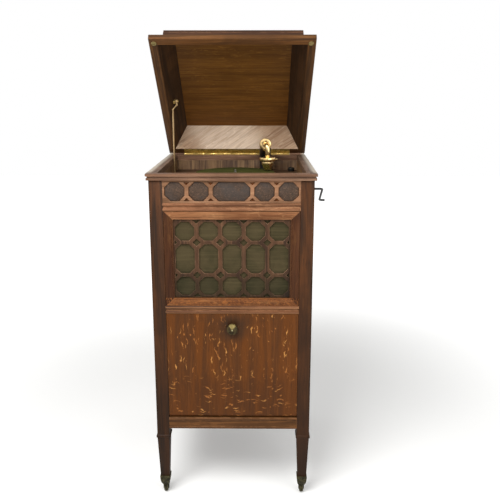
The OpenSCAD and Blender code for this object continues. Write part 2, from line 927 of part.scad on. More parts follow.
module lid_top_board() {
    color(oak)
        on_lid()
            box([-lid_half + lid_set_side, lid_front + lid_set_front, lid_wall_top],
                [lid_half - lid_set_side, lid_rear - lid_set_front, lid_top]);
}

module lid_bumpers() {
    t = lid_gap - 0.4;
    in_edge = lid_face_w * 0.6;
    color(brass)
        on_lid()
            for (side = [-1, 1])
                translate([side * (lid_half - in_edge), lid_front + in_edge + 4, lid_foot - t])
                    cylinder(r = bumper_d / 2, h = t);
}

module stay_bracket() {
    face = stay_eye_x - stay_eye_half - 0.8;
    color(brass)
        on_lid() {
            intersection() {
                box([-lid_half, -stay_u - 6, stay_n - 6], [face, -stay_u + 6, stay_n + 5]);
                lid_hollow();
            }
            rod_x([face - 0.5, -stay_u, stay_n], stay_pin_r, 2 * stay_eye_half + 3);
            rod_x([stay_eye_x + stay_eye_half + 0.8, -stay_u, stay_n], stay_pin_r + 2, 1.5);
        }
}

module stay_rod() {
    out = stay_x - stay_eye_x;
    down = stay_step_to - stay_step_from;
    color(brass)
        in_frame()
            difference() {
                union() {
                    rod_x([stay_eye_x - stay_eye_half, stay_pivot_y, stay_pivot_z], stay_eye_r,
                        2 * stay_eye_half);
                    translate([stay_eye_x, stay_pivot_y, stay_pivot_z])
                        rotate([180 + stay_lean, 0, 0]) {
                            translate([0, 0, stay_eye_r - 1])
                                cylinder(r = stay_r, h = stay_step_from - stay_eye_r + 1);
                            translate([0, 0, stay_step_from]) {
                                sphere(r = stay_ball_r);
                                rotate([0, atan2(out, down), 0])
                                    cylinder(r = stay_r, h = norm([out, down]));
                            }
                            translate([out, 0, stay_step_to]) {
                                sphere(r = stay_ball_r);
                                cylinder(r = stay_r, h = stay_len - stay_step_to);
                            }
                        }
                }
                rod_x([stay_eye_x - stay_eye_half - past, stay_pivot_y, stay_pivot_z],
                    stay_pin_r + run, 2 * stay_eye_half + 2 * past);
            }
}

module stay_guide() {
    t = 3;
    color(brass)
        in_frame()
            difference() {
                union() {
                    box([-panel_in, guide_y - 14, guide_z - t / 2], [stay_x + 8, guide_y + 14,
                        guide_z + t / 2]);
                    box([-panel_in, guide_y - 14, guide_z - 14], [-panel_in + t, guide_y + 14, guide_z + 14]);
                }
                box([stay_x - stay_r - 0.6, guide_y - stay_slot_half, guide_z - t],
                    [stay_x + stay_r + 0.6, guide_y + stay_slot_half, guide_z + t]);
            }
}

// Turntable

module turntable() {
    rim_h = 7;
    rim_in = 5;
    low = board_top + 2.5;
    color(steel)
        in_frame()
            translate([0, spindle_y, 0])
                difference() {
                    union() {
                        translate([0, 0, felt_z - felt_t - 3])
                            cylinder(r = table_r, h = 3, $fn = 96);
                        translate([0, 0, felt_z - felt_t - rim_h])
                            cylinder(r = table_r, h = rim_h, $fn = 96);
                        translate([0, 0, low])
                            cylinder(r = 14, h = felt_z - felt_t - low);
                    }
                    difference() {
                        translate([0, 0, felt_z - felt_t - rim_h - past])
                            cylinder(r = table_r - rim_in, h = rim_h - 3 + past, $fn = 96);
                        translate([0, 0, low - past])
                            cylinder(r = 14, h = 2 * rim_h);
                    }
                    translate([0, 0, low - past])
                        cylinder(r = shaft_r, h = felt_up + 2 * past);
                }
}

module turntable_felt() {
    color([0.3, 0.34, 0.18])
        in_frame()
            translate([0, spindle_y, felt_z - felt_t])
                difference() {
                    cylinder(r = table_r - 1, h = felt_t, $fn = 96);
                    translate([0, 0, -past])
                        cylinder(r = shaft_r, h = felt_t + 2 * past);
                }
}

module spindle() {
    shaft_top = felt_z - tip_relief;
    color(steel)
        in_frame()
            translate([0, spindle_y, 0]) {
                translate([0, 0, motor_low + 1])
                    cylinder(r = shaft_r, h = shaft_top - motor_low - 1);
                translate([0, 0, shaft_top - past])
                    cylinder(r = spindle_r - tip_relief, h = 2 * tip_relief + 2 * past);
                translate([0, 0, felt_z + tip_relief])
                    cylinder(r = spindle_r, h = spindle_up - tip_relief);
                translate([0, 0, great_z])
                    rotate([0, 0, mesh_angle + 180])
                        toothed_wheel(pinion_teeth, tooth_m, great_t);
                translate([0, 0, governor_z - 4])
                    toothed_wheel(worm_teeth, worm_m, 8);
            }
}

// Motor

// Direction from the barrel to the spindle: a tooth of the pinion and a gap of the great wheel lie on it
mesh_angle = atan2(spindle_y, -barrel_x);

module motor_frame() {
    color(iron)
        in_frame()
            difference() {
                union() {
                    for (z = [motor_low, plate_top - plate_t])
                        box([motor_x0, motor_y0, z], [motor_x1, motor_y1, z + plate_t]);
                    for (x = [motor_x0 + pillar_r + 2, motor_x1 - pillar_r - 2])
                        for (y = [motor_y0 + pillar_r + 2, motor_y1 - pillar_r - 2])
                            translate([x, y, motor_low + plate_t - 1])
                                cylinder(r = pillar_r, h = plate_top - motor_low - 2 * plate_t + 2);
                    for (side = [-1, 1])
                        box([side * governor_half - 3, governor_y - 6, governor_z - 6],
                            [side * governor_half + 3, governor_y + 6, plate_top - plate_t + 1]);
                }
                for (z = [motor_low - past, plate_top - plate_t - past]) {
                    translate([0, spindle_y, z])
                        cylinder(r = shaft_r + run, h = plate_t + 2 * past);
                    translate([barrel_x, 0, z])
                        cylinder(r = arbor_r + run, h = plate_t + 2 * past);
                }
                box([wind_x - 2, -wind_pitch, plate_top - plate_t - past],
                    [wind_x + face_w + 2, wind_pitch, plate_top + past]);
                rod_x([-governor_half - 4, governor_y, governor_z], 2 + run, 2 * governor_half + 8);
            }
}

module spring_barrel() {
    color(steel)
        in_frame()
            translate([barrel_x, 0, 0])
                difference() {
                    union() {
                        translate([0, 0, great_z])
                            rotate([0, 0, mesh_angle + 180 / barrel_teeth])
                                toothed_wheel(barrel_teeth, tooth_m, great_t);
                        translate([0, 0, drum_z])
                            cylinder(r = drum_r, h = drum_top - drum_z);
                    }
                    translate([0, 0, great_z - past])
                        cylinder(r = arbor_r + run, h = drum_top - great_z + 2 * past);
                    translate([0, 0, drum_z + 2])
                        difference() {
                            cylinder(r = drum_r - 3, h = drum_top - drum_z - 4);
                            translate([0, 0, -past])
                                cylinder(r = arbor_r + 8, h = drum_top - drum_z);
                        }
                }
}

module barrel_arbor() {
    tooth_h = (tooth_root + tooth_tip) * tooth_m - 0.9;
    tooth_w = 0.26 * PI * tooth_m;
    color(steel)
        in_frame()
            translate([barrel_x, 0, 0]) {
                translate([0, 0, motor_low + 1])
                    cylinder(r = arbor_r, h = plate_top - motor_low - 2);
                translate([0, 0, crown_z - 5])
                    cylinder(r = crown_pitch + face_w / 2, h = 5);
                for (i = [0:crown_teeth - 1])
                    rotate([0, 0, (i + 0.5) * 360 / crown_teeth])
                        box([crown_pitch - face_w / 2, -tooth_w / 2, crown_z - 0.5],
                            [crown_pitch + face_w / 2 - 1, tooth_w / 2, crown_z + tooth_h]);
            }
}

socket_depth = 20;

module winding_shaft() {
    end = panel_out + 4;
    color(steel)
        in_frame()
            difference() {
                union() {
                    rod_x([wind_x, 0, crank_z], shaft_r, end - wind_x);
                    translate([wind_x, 0, crank_z])
                        rotate([0, 90, 0])
                            toothed_wheel(wind_teeth, tooth_m, face_w);
                }
                rod_x([end - socket_depth, 0, crank_z], crank_r, socket_depth + past);
            }
}

module crank() {
    bend = 8;
    x_arm = body_half + crank_out - crank_r;
    x_in = panel_out + 4 - socket_depth;
    color(iron)
        in_frame()
            translate([0, 0, crank_z])
                rotate([crank_tilt, 0, 0]) {
                    rod_x([x_in, 0, 0], crank_r, x_arm - bend - x_in);
                    translate([x_arm - bend, 0, -bend])
                        rotate([90, 0, 0])
                            rotate_extrude(angle = 90)
                                translate([bend, 0])
                                    circle(crank_r);
                    translate([x_arm, 0, -crank_arm + bend])
                        cylinder(r = crank_r, h = crank_arm - 2 * bend);
                    translate([x_arm + bend, 0, -crank_arm + bend])
                        rotate([90, 0, 0])
                            rotate([0, 0, 180])
                                rotate_extrude(angle = 90)
                                    translate([bend, 0])
                                        circle(crank_r);
                    rod_x([x_arm + bend, 0, -crank_arm], crank_r, crank_stub - bend + crank_r);
                }
}

module crank_escutcheon() {
    color(brass)
        in_frame()
            difference() {
                union() {
                    rod_x([panel_in - 4, 0, crank_z], bush_r, panel_t + 4);
                    rod_x([panel_out, 0, crank_z], 16, 2.5);
                }
                rod_x([panel_in - 5, 0, crank_z], shaft_r + run, panel_t + 9);
            }
}

module governor() {
    ball_r = 5;
    ball_at = 12;
    color(brass)
        in_frame() {
            rod_x([-governor_half - 2, governor_y, governor_z], 2, 2 * governor_half + 4);
            rod_x([-9, governor_y, governor_z], worm_r, 18);
            rod_x([42, governor_y, governor_z], 15, 2);
            for (x = [20, 38])
                rod_x([x, governor_y, governor_z], 5, 3);
            for (i = [0:2])
                translate([0, governor_y, governor_z])
                    rotate([i * 120, 0, 0]) {
                        rod_x([29 - 5, 0, ball_at], ball_r, 10);
                        box([20, -2, 4], [41, 2, 5.2]);
                        box([28, -1.5, 4], [30, 1.5, ball_at]);
                    }
        }
}

module start_lever() {
    color(brass)
        in_frame()
            translate([lever_x, lever_y, 0]) {
                translate([0, 0, board_low - 4])
                    cylinder(r = lever_r, h = board_drop - 10 + board_t + 4);
                translate([0, 0, board_low - 4])
                    cylinder(r = lever_r + 4, h = 3.7);
                translate([0, 0, board_top + 0.3])
                    cylinder(r = lever_r + 4, h = 2);
                translate([0, 0, rim_z - 9])
                    sphere(r = lever_r + 2);
            }
}

module speed_knob() {
    color(iron)
        in_frame()
            translate([speed_x, speed_y, 0]) {
                translate([0, 0, board_low - 4])
                    cylinder(r = speed_shaft_r, h = board_t + 8);
                translate([0, 0, board_low - 5])
                    cylinder(r = speed_shaft_r + 3, h = 4.7);
                translate([0, 0, board_top + 0.3])
                    cylinder(r = 11, h = 10);
                translate([0, 0, board_top + 10.3])
                    cylinder(r1 = 11, r2 = 8, h = 2.5);
            }
}

// Lowest and highest lines of the horn's last four stations: over its shelf, under the motor, and
// at the mouth behind the grille
horn_lows = [grille_low + 82, grille_low + 62, grille_low + 54, grille_low + 38];
horn_tops = [motor_low - 29.5, motor_low - 25.5, motor_low - 9.5, grille_top - 36];
function horn_mid(i) = (horn_lows[i] + horn_tops[i]) / 2;
function horn_half(i) = (horn_tops[i] - horn_lows[i]) / 2;

// Horn: stations along its run, each [x, y, z, half width, half height, direction]
horn_run = [
    [neck_x, neck_y, board_low, horn_flange_r, horn_flange_r, -90],
    [neck_x, neck_y, board_low - 6, horn_flange_r, horn_flange_r, -90],
    [neck_x, neck_y, board_low - 7, horn_throat, horn_throat, -90],
    [neck_x, neck_y, board_low - 62, horn_throat, horn_throat, -90],
    [neck_x - 2, neck_y - 8, board_low - 105, 27, 27, -70],
    [neck_x - 14, neck_y - 45, board_low - 155, 38, 36, -38],
    [52, neck_y - 125, horn_mid(0), 60, horn_half(0), -8],
    [20, 0, horn_mid(1), 92, horn_half(1), 0],
    [5, -120, horn_mid(2), 122, horn_half(2), 0],
    [0, front_y + 36, horn_mid(3), 150, horn_half(3), 0]];
horn_sides = 24;

// Squareness of the horn's section, from round at the throat to nearly square at the mouth
function horn_power(i) = i < 5 ? 1 : 1 - 0.1 * (i - 4);
function signed_pow(v, p) = v < 0 ? -pow(-v, p) : pow(v, p);
function horn_ring(i, inset) = let (s = horn_run[i], p = horn_power(i))
    [for (k = [0:horn_sides - 1]) let (
        a = k * 360 / horn_sides,
        across = (s[3] - inset) * signed_pow(cos(a), p),
        up = (s[4] - inset) * signed_pow(sin(a), p))
        [s[0] + across, s[1] + up * sin(s[5]), s[2] + up * cos(s[5])]];

module horn() {
    n = len(horn_run);
    bore = [for (i = [0:n - 1]) i < 4 ? horn_run[i][3] - neck_r - 0.4 : horn_wall];
    outer = [for (i = [0:n - 1]) each horn_ring(i, 0)];
    inner = [for (i = [0:n - 1]) each horn_ring(i, bore[i])];
    off = n * horn_sides;
    sides = [for (i = [0:n - 2]) for (k = [0:horn_sides - 1]) let (j = (k + 1) % horn_sides,
        a = i * horn_sides)
        each [[a + k, a + j, a + horn_sides + j], [a + k, a + horn_sides + j, a + horn_sides + k],
            [off + a + j, off + a + k, off + a + horn_sides + k],
            [off + a + j, off + a + horn_sides + k, off + a + horn_sides + j]]];
    last = (n - 1) * horn_sides;
    ends = [for (k = [0:horn_sides - 1]) let (j = (k + 1) % horn_sides)
        each [[j, k, off + k], [j, off + k, off + j],
            [last + k, last + j, off + last + j], [last + k, off + last + j, off + last + k]]];
    color(iron)
        in_frame()
            polyhedron(points = concat(outer, inner), faces = concat(sides, ends));
}

// Sound arm

module neck_collar() {
    color(brass)
        in_frame()
            translate([neck_x, neck_y, board_top])
                difference() {
                    cylinder(r = neck_r + 6, h = 7);
                    translate([0, 0, -past])
                        cylinder(r = neck_r + run, h = 9);
                }
}

// The neck's bent centre line, swept with a round section
module neck_sweep(r) {
    translate([neck_x, neck_y - neck_bend, neck_top - neck_bend])
        rotate([90, 0, 90])
            rotate_extrude(angle = 90)
                translate([neck_bend, 0])
                    circle(r);
}

module horn_neck() {
    low = board_low - 14;
    color(iron)
        in_frame()
            difference() {
                union() {
                    neck_sweep(neck_r);
                    translate([neck_x, neck_y, low])
                        cylinder(r = neck_r, h = neck_top - neck_bend - low);
                }
                union() {
                    neck_sweep(neck_r - neck_wall);
                    translate([neck_x, neck_y, low - past])
                        cylinder(r = neck_r - neck_wall, h = neck_top - neck_bend - low + past);
                    rod_front([neck_x, mouth_y + 0.01, neck_top], neck_r - neck_wall, past);
                }
            }
}

module neck_nut() {
    color(brass)
        in_frame()
            difference() {
                rod_front([neck_x, mouth_y, neck_top], nut_r, nut_len);
                rod_front([neck_x, mouth_y + past, neck_top], elbow_r + run, nut_len + 2 * past);
            }
}

module sound_elbow() {
    flange_gap = 0.3;
    flange_t = 2.5;
    inner_len = 4;
    stub_past = 3;
    bend_r = elbow_r - 1;
    box_top = box_z + box_t / 2;
    color(brass)
        in_frame() {
            rod_front([neck_x, mouth_y + inner_len, neck_top], elbow_r, nut_len + inner_len + stub_past);
            rod_front([neck_x, mouth_y + flange_gap + flange_t, neck_top], elbow_r + 4, flange_t);
            translate([neck_x, nut_front, neck_top])
                rotate([0, 0, elbow_yaw]) {
                    rod_front([0, 0, 0], bend_r, elbow_run);
                    translate([0, -elbow_run, -elbow_bend])
                        rotate([90, 0, -90])
                            rotate_extrude(angle = 90)
                                translate([elbow_bend, 0])
                                    circle(bend_r);
                    translate([0, -elbow_reach, box_top - neck_top])
                        cylinder(r = bend_r, h = neck_top - elbow_bend - box_top);
                }
        }
}

module sound_box() {
    low = box_z - box_t / 2;
    lug = 4;
    color(brass)
        in_frame() {
            translate([box_x, box_y, low]) {
                cylinder(r = box_r - 1.5, h = box_t);
                translate([0, 0, 2])
                    cylinder(r = box_r, h = box_t - 4);
            }
            rod_x([box_x + box_r - 2, box_y, box_z], 1.5, 8);
            box([box_x - lug, weight_pin_y - 3, weight_pin_z - 3], [box_x + lug, weight_pin_y + 2, low + 1]);
            rod_x([box_x - 2.2 * lug, weight_pin_y, weight_pin_z], 1.5, 4.4 * lug);
        }
}

module floating_weight() {
    lug = 4;
    stylus_y = box_y - 13;
    color(brass)
        in_frame() {
            difference() {
                union() {
                    translate([box_x, box_y - 4, weight_low])
                        cylinder(r1 = 12, r2 = 19, h = weight_top - weight_low - 6);
                    translate([box_x, box_y - 4, weight_top - 6])
                        cylinder(r = 19, h = 5.5);
                    for (side = [-1, 1])
                        translate([box_x + side * 1.5 * lug, 0, 0])
                            box([-lug / 2, box_y, weight_pin_z - 3.5], [lug / 2, weight_pin_y + 3,
                                weight_pin_z + 2.5]);
                }
                box([box_x - lug - 0.3, weight_pin_y - 4, weight_low - past],
                    [box_x + lug + 0.3, weight_pin_y + 10, weight_top + past]);
                rod_x([box_x - 20, weight_pin_y, weight_pin_z], 1.5 + run, 40);
            }
            translate([box_x, stylus_y, felt_z + 2.5])
                cylinder(r1 = 0.3, r2 = 0.9, h = weight_low - felt_z - 2);
        }
}

// Casters

axle_r = 2;
cheek_gap = 0.5;
cheek_t = 2;
wheel_axle_z = wheel_d / 2;
ferrule_low = foot_z - 8;

module caster_ferrules() {
    half = ferrule_w / 2;
    pocket = foot_w / 2 + (post_w - foot_w) / 2 * ferrule_up / (collar_z - collar_h - foot_z) + 0.2;
    floor_half = pocket + 0.8;
    low = floor_half - 2.5;
    band_z = foot_z + ferrule_up - 4;
    color(bronze)
        in_frame()
            for (x = [-post_x, post_x])
                for (y = [front_post_y, back_post_y])
                    translate([x, y, 0])
                        difference() {
                            union() {
                                sloped_block([-low, low, -low, low],
                                    [-floor_half, floor_half, -floor_half, floor_half], ferrule_low, foot_z);
                                sloped_block([-floor_half, floor_half, -floor_half, floor_half],
                                    [-half, half, -half, half], foot_z, band_z);
                                box([-half, -half, band_z], [half, half, foot_z + ferrule_up]);
                            }
                            box([-pocket, -pocket, foot_z], [pocket, pocket, foot_z + ferrule_up + past]);
                            translate([0, 0, ferrule_low - past])
                                cylinder(r = stem_r + run, h = 10);
                        }
}

module caster_yoke(x, y) {
    plate_low = wheel_d + 2;
    cheek_in = wheel_w / 2 + cheek_gap;
    color(bronze)
        in_frame()
            translate([x, y, 0]) {
                translate([0, 0, plate_low])
                    cylinder(r = stem_r, h = foot_z + stem_up - plate_low);
                translate([0, 0, plate_low])
                    cylinder(r = 12, h = ferrule_low - plate_low - 0.4);
                for (side = [-1, 1])
                    intersection() {
                        box([side > 0 ? cheek_in : -cheek_in - cheek_t, -8, wheel_axle_z - 6],
                            [side > 0 ? cheek_in + cheek_t : -cheek_in, 16, plate_low + 2]);
                        union() {
                            rod_x([-20, caster_trail, wheel_axle_z], 6, 40);
                            box([-20, caster_trail - 6, wheel_axle_z], [20, caster_trail + 4, plate_low + 2]);
                        }
                    }
                rod_x([-cheek_in - cheek_t, caster_trail, wheel_axle_z], axle_r, 2 * (cheek_in + cheek_t));
            }
}

module caster_wheel(x, y) {
    edge = 2;
    color(bronze)
        in_frame()
            translate([x - wheel_w / 2, y + caster_trail, wheel_axle_z])
                rotate([0, 90, 0])
                    rotate_extrude()
                        polygon([[axle_r + run, 0], [wheel_d / 2 - edge, 0], [wheel_d / 2, edge],
                            [wheel_d / 2, wheel_w - edge], [wheel_d / 2 - edge, wheel_w],
                                [axle_r + run, wheel_w]]);
}

module front_left_yoke() {
    caster_yoke(-post_x, front_post_y);
}

module front_left_wheel() {
    caster_wheel(-post_x, front_post_y);
}

module front_right_yoke() {
    caster_yoke(post_x, front_post_y);
}

module front_right_wheel() {
    caster_wheel(post_x, front_post_y);
}

module back_left_yoke() {
    caster_yoke(-post_x, back_post_y);
}

module back_left_wheel() {
    caster_wheel(-post_x, back_post_y);
}

module back_right_yoke() {
    caster_yoke(post_x, back_post_y);
}

module back_right_wheel() {
    caster_wheel(post_x, back_post_y);
}

front_posts();
back_posts();
left_side_panel();
right_side_panel();
back_panel();
bottom_board();
front_bottom_rail();
horn_shelf();
record_dividers();
top_rim();
well_lining();
motor_board();
frieze_board();
frieze_fret();
frieze_plaques();
mid_moulding();
low_moulding();
grille_frame();
grille_fret();
grille_cloth();
drop_door();
door_knob();
door_pivots();
rim_hinge_leaf();
lid_hinge_leaf();
lid_walls();
lid_top_board();
lid_bumpers();
stay_bracket();
stay_rod();
stay_guide();
turntable();
turntable_felt();
spindle();
motor_frame();
spring_barrel();
barrel_arbor();
winding_shaft();
crank();
crank_escutcheon();
governor();
start_lever();
speed_knob();
horn();
neck_collar();
horn_neck();
neck_nut();
sound_elbow();
sound_box();
floating_weight();
caster_ferrules();
front_left_yoke();
front_left_wheel();
front_right_yoke();
front_right_wheel();
back_left_yoke();
back_left_wheel();
back_right_yoke();
back_right_wheel();
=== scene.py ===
import bpy
import json
from math import cos, pi, radians, sin
from mathutils import Matrix, Vector


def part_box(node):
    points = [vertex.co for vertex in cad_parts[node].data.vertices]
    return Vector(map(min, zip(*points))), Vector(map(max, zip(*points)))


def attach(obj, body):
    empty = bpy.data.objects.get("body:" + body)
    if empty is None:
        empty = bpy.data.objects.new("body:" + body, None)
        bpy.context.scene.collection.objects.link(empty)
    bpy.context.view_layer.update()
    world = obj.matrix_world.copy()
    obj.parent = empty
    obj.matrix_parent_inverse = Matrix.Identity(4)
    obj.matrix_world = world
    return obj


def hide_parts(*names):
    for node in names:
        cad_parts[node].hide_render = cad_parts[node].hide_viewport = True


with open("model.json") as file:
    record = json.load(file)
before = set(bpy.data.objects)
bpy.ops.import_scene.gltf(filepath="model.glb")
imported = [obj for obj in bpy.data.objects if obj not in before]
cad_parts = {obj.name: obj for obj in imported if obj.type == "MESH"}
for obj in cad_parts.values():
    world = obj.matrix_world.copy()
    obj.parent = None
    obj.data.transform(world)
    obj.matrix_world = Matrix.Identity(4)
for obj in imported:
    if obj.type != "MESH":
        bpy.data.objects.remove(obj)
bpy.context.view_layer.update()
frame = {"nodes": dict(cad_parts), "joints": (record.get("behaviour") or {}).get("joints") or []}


# Camera
# The cabinet is seen from two metres off, from a little to the right of its middle and from
# just above the open well, so that the rim, the lid's ceiling and the front all show.

eye = (0.04205, -2.06863, 1.2263)
tilt, turn = radians(76.03), radians(0.62)
bpy.ops.object.camera_add(location=eye, rotation=(tilt, 0, turn))
camera = bpy.context.object
camera.data.lens = 47.97
camera.data.sensor_width = 36
bpy.context.scene.camera = camera


# Corner posts and legs
# Four square oak posts run from the rim down to the casters. Under a small collar they taper
# into legs. Their edges are worn pale, and the oak is painted darker towards the feet.

def tint(red, green, blue):
    """A colour given as it is seen, from 0 to 255."""
    linear = [(v / 255 / 12.92) if v < 11 else ((v / 255 + 0.055) / 1.055) ** 2.4
              for v in (red, green, blue)]
    return (*linear, 1)


class Value:
    """A socket of a finish. Sums and products of values add their Math nodes."""

    def __init__(self, tree, socket):
        self.tree, self.socket = tree, socket

    def maths(self, operation, first, second=0):
        node = self.tree.nodes.new("ShaderNodeMath")
        node.operation = operation
        for socket, value in zip(node.inputs, (first, second)):
            if isinstance(value, Value):
                self.tree.links.new(value.socket, socket)
            else:
                socket.default_value = value
        return Value(self.tree, node.outputs[0])

    def __add__(self, other):
        return self.maths("ADD", self, other)

    def __sub__(self, other):
        return self.maths("SUBTRACT", self, other)

    def __rsub__(self, other):
        return self.maths("SUBTRACT", other, self)

    def __mul__(self, other):
        return self.maths("MULTIPLY", self, other)

    def __gt__(self, other):
        return self.maths("GREATER_THAN", self, other)

    def __abs__(self):
        return self.maths("ABSOLUTE", self)

    __radd__ = __add__
    __rmul__ = __mul__


class Finish:
    """One finish in the making, on the Principled shader of a new material."""

    def __init__(self, name, colour, **fixed):
        self.material = bpy.data.materials.new(name)
        self.material.use_nodes = True
        self.tree = self.material.node_tree
        self.shader = self.tree.nodes["Principled BSDF"]
        self.spot = self.level = self.node("ShaderNodeTexCoord", out="Object")
        self.colour = tint(*colour)
        for socket, value in fixed.items():
            self.shader.inputs[socket.replace("_", " ")].default_value = value

    def node(self, kind, settings=None, sockets=None, out=0):
        """Adds a node with its settings, then the values or links of its sockets."""
        node = self.tree.nodes.new(kind)
        for name, value in (settings or {}).items():
            setattr(node, name, value)
        for name, value in (sockets or {}).items():
            if isinstance(value, Value):
                self.tree.links.new(value.socket, node.inputs[name])
            else:
                node.inputs[name].default_value = value
        return Value(self.tree, node.outputs[out])

    def noise(self, scale, detail=3, twist=0, shift=0, turn=(0, 0, 0)):
        """A pattern with so many spots to the metre along each axis."""
        spot = self.node("ShaderNodeMapping", None, {
            "Vector": self.spot, "Scale": scale, "Rotation": turn,
            "Location": (shift, shift * 0.7, shift * 1.3)})
        return self.node("ShaderNodeTexNoise", None, {
            "Vector": spot, "Scale": 1, "Detail": detail, "Distortion": twist}, "Fac")

    def between(self, value, low, high):
        """Rises smoothly from 0 where the value is low to 1 where it is high."""
        return self.node("ShaderNodeMapRange", {"interpolation_type": "SMOOTHSTEP"}, {
            "Value": value, "From Min": low, "From Max": high}, "Result")

    def along(self, axis):
        """The coordinate on one axis, in metres."""
        parts = self.tree.nodes.new("ShaderNodeSeparateXYZ")
        self.tree.links.new(self.level.socket, parts.inputs[0])
        return Value(self.tree, parts.outputs[axis])

    def point(self, x, y, z):
        return self.node("ShaderNodeCombineXYZ", None, {0: x, 1: y, 2: z})

    def distance(self, spot, skip=None):
        """How far each point lies from a spot, with one axis left out if skip names it."""
        away = [0 if axis == skip else self.along(axis) - spot[axis] for axis in range(3)]
        return self.node("ShaderNodeVectorMath", {"operation": "LENGTH"}, {
            0: self.point(*away)}, "Value")

    def edge(self):
        """1 on the eased faces, where a finish shows its wear, and 0 elsewhere."""
        return self.node("ShaderNodeAttribute", {"attribute_name": "edge"}, out="Fac")

    def paint(self, share, colour, how="MIX"):
        """Lays a colour over what is there, as far as share says."""
        mixed = self.node("ShaderNodeMix", {"data_type": "RGBA", "blend_type": how}, {
            0: share, 6: self.colour, 7: tint(*colour)}, 2)
        self.colour = mixed
        self.tree.links.new(mixed.socket, self.shader.inputs["Base Color"])

    def gloss(self, roughness):
        """Lets the roughness follow a pattern."""
        self.tree.links.new(roughness.socket, self.shader.inputs["Roughness"])

    def relief(self, height, depth=0.0003, strength=0.6):
        """Raises the surface by height times depth, in metres."""
        bump = self.node("ShaderNodeBump", None, {
            "Strength": strength, "Distance": depth, "Height": height})
        self.tree.links.new(bump.socket, self.shader.inputs["Normal"])


def oak(name, grain, dark, mid, light, fleck=0.0, worn=(150, 112, 82), shift=0.0, foot=0.0,
        frame_of=None, sides=(255, 255, 255), turn=None, bold=1.0):
    """Fumed oak. grain is the axis it runs along, and shift moves its figure, so that no two
    boards are alike. bold, fleck and foot say how strongly its figure, its rays and the
    darkening towards the feet show, and worn is the colour of its rubbed edges.
    frame_of is the middle, the two axes and the half sizes of a mitred frame: on its side bars
    the grain turns, the colour sides shades the wood, and a dark line marks each mitre.
    turn is the rotation and shift that lay a tilted piece level, so that its grain follows it."""
    wood = Finish(name, mid, Specular_IOR_Level=0.14, Coat_Weight=0.02, Coat_Roughness=0.3)
    if turn:
        wood.spot = wood.level = wood.node("ShaderNodeMapping", None, {
            "Vector": wood.spot, "Rotation": turn[0], "Location": turn[1]})
    if frame_of:
        middle, axes, halves = frame_of
        whole = [wood.along(i) for i in range(3)]
        over, up = (abs(whole[axis] - middle[i]) - halves[i] for i, axis in enumerate(axes))
        side = over > up
        mitre = 1 - wood.between(abs(over - up), 0.0003, 0.0011)
        turned = list(whole)
        turned[axes[0]] = whole[axes[0]] + side * (whole[axes[1]] - whole[axes[0]])
        turned[axes[1]] = whole[axes[1]] + side * (whole[axes[0]] - whole[axes[1]])
        wood.spot = wood.point(*turned)
    along = "XYZ".index(grain)

    def stretch(across, down):
        return tuple(down if i == along else across for i in range(3))

    figure = wood.noise(stretch(30, 1.8), 5, 1.3, shift)
    streak = wood.noise(stretch(240, 7), 4, 0.4, shift + 3)
    pore = wood.between(wood.noise(stretch(900, 36), 2, 0, shift + 5), 0.58, 0.7)
    cloud = wood.noise((9, 9, 6), 5, 0.6, shift + 9)
    wood.paint((1 - wood.between(figure, 0.34, 0.62)) * bold, dark)
    wood.paint(wood.between(streak, 0.46, 0.74) * 0.55, light)
    if fleck:
        lean = [0.0, 0.0, 0.0]
        lean[1 if along != 1 else 0] = 0.32
        ray = wood.noise(stretch(120, 34), 3, 1.4, shift + 12, tuple(lean))
        patch = wood.between(wood.noise((17, 17, 11), 2, 0.3, shift + 15), 0.4, 0.6)
        wood.paint(wood.between(ray, 0.56, 0.63) * patch * fleck, light)
    wood.paint(pore * 0.5, [0.5 * v for v in dark])
    wood.paint(wood.between(cloud, 0.45, 0.68) * 0.5 * bold, dark)
    if frame_of:
        wood.paint(side, sides, "MULTIPLY")
        wood.paint(mitre * 0.7, [0.35 * v for v in dark])
    # The oak is painted darker towards the feet.
    if foot:
        low = 1 - wood.between(wood.along(2), 0.12, 0.75)
        wood.paint(low * foot, [0.62 * v for v in dark])
    rub = wood.between(wood.noise((70, 70, 50), 4, 0, shift + 20), 0.42, 0.6)
    wood.paint(wood.edge() * (rub * 0.7 + 0.1), worn)
    wood.gloss(0.4 + cloud * 0.3)
    wood.relief(streak - pore * 0.8)
    return wood


def activate(piece):
    """Makes a piece the only selected one, so that operators act on nothing else."""
    bpy.ops.object.select_all(action="DESELECT")
    piece.select_set(True)
    bpy.context.view_layer.objects.active = piece


def seat(piece, body, slot, finish, *nodes):
    """Puts a finished piece on its body, in its finish, for the CAD nodes it stands for."""
    activate(piece)
    bpy.ops.object.transform_apply(location=True, rotation=True, scale=True)
    piece.data.materials.clear()
    piece.data.materials.append(finish.material)
    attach(piece, body)
    if nodes:
        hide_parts(*nodes)
    return piece


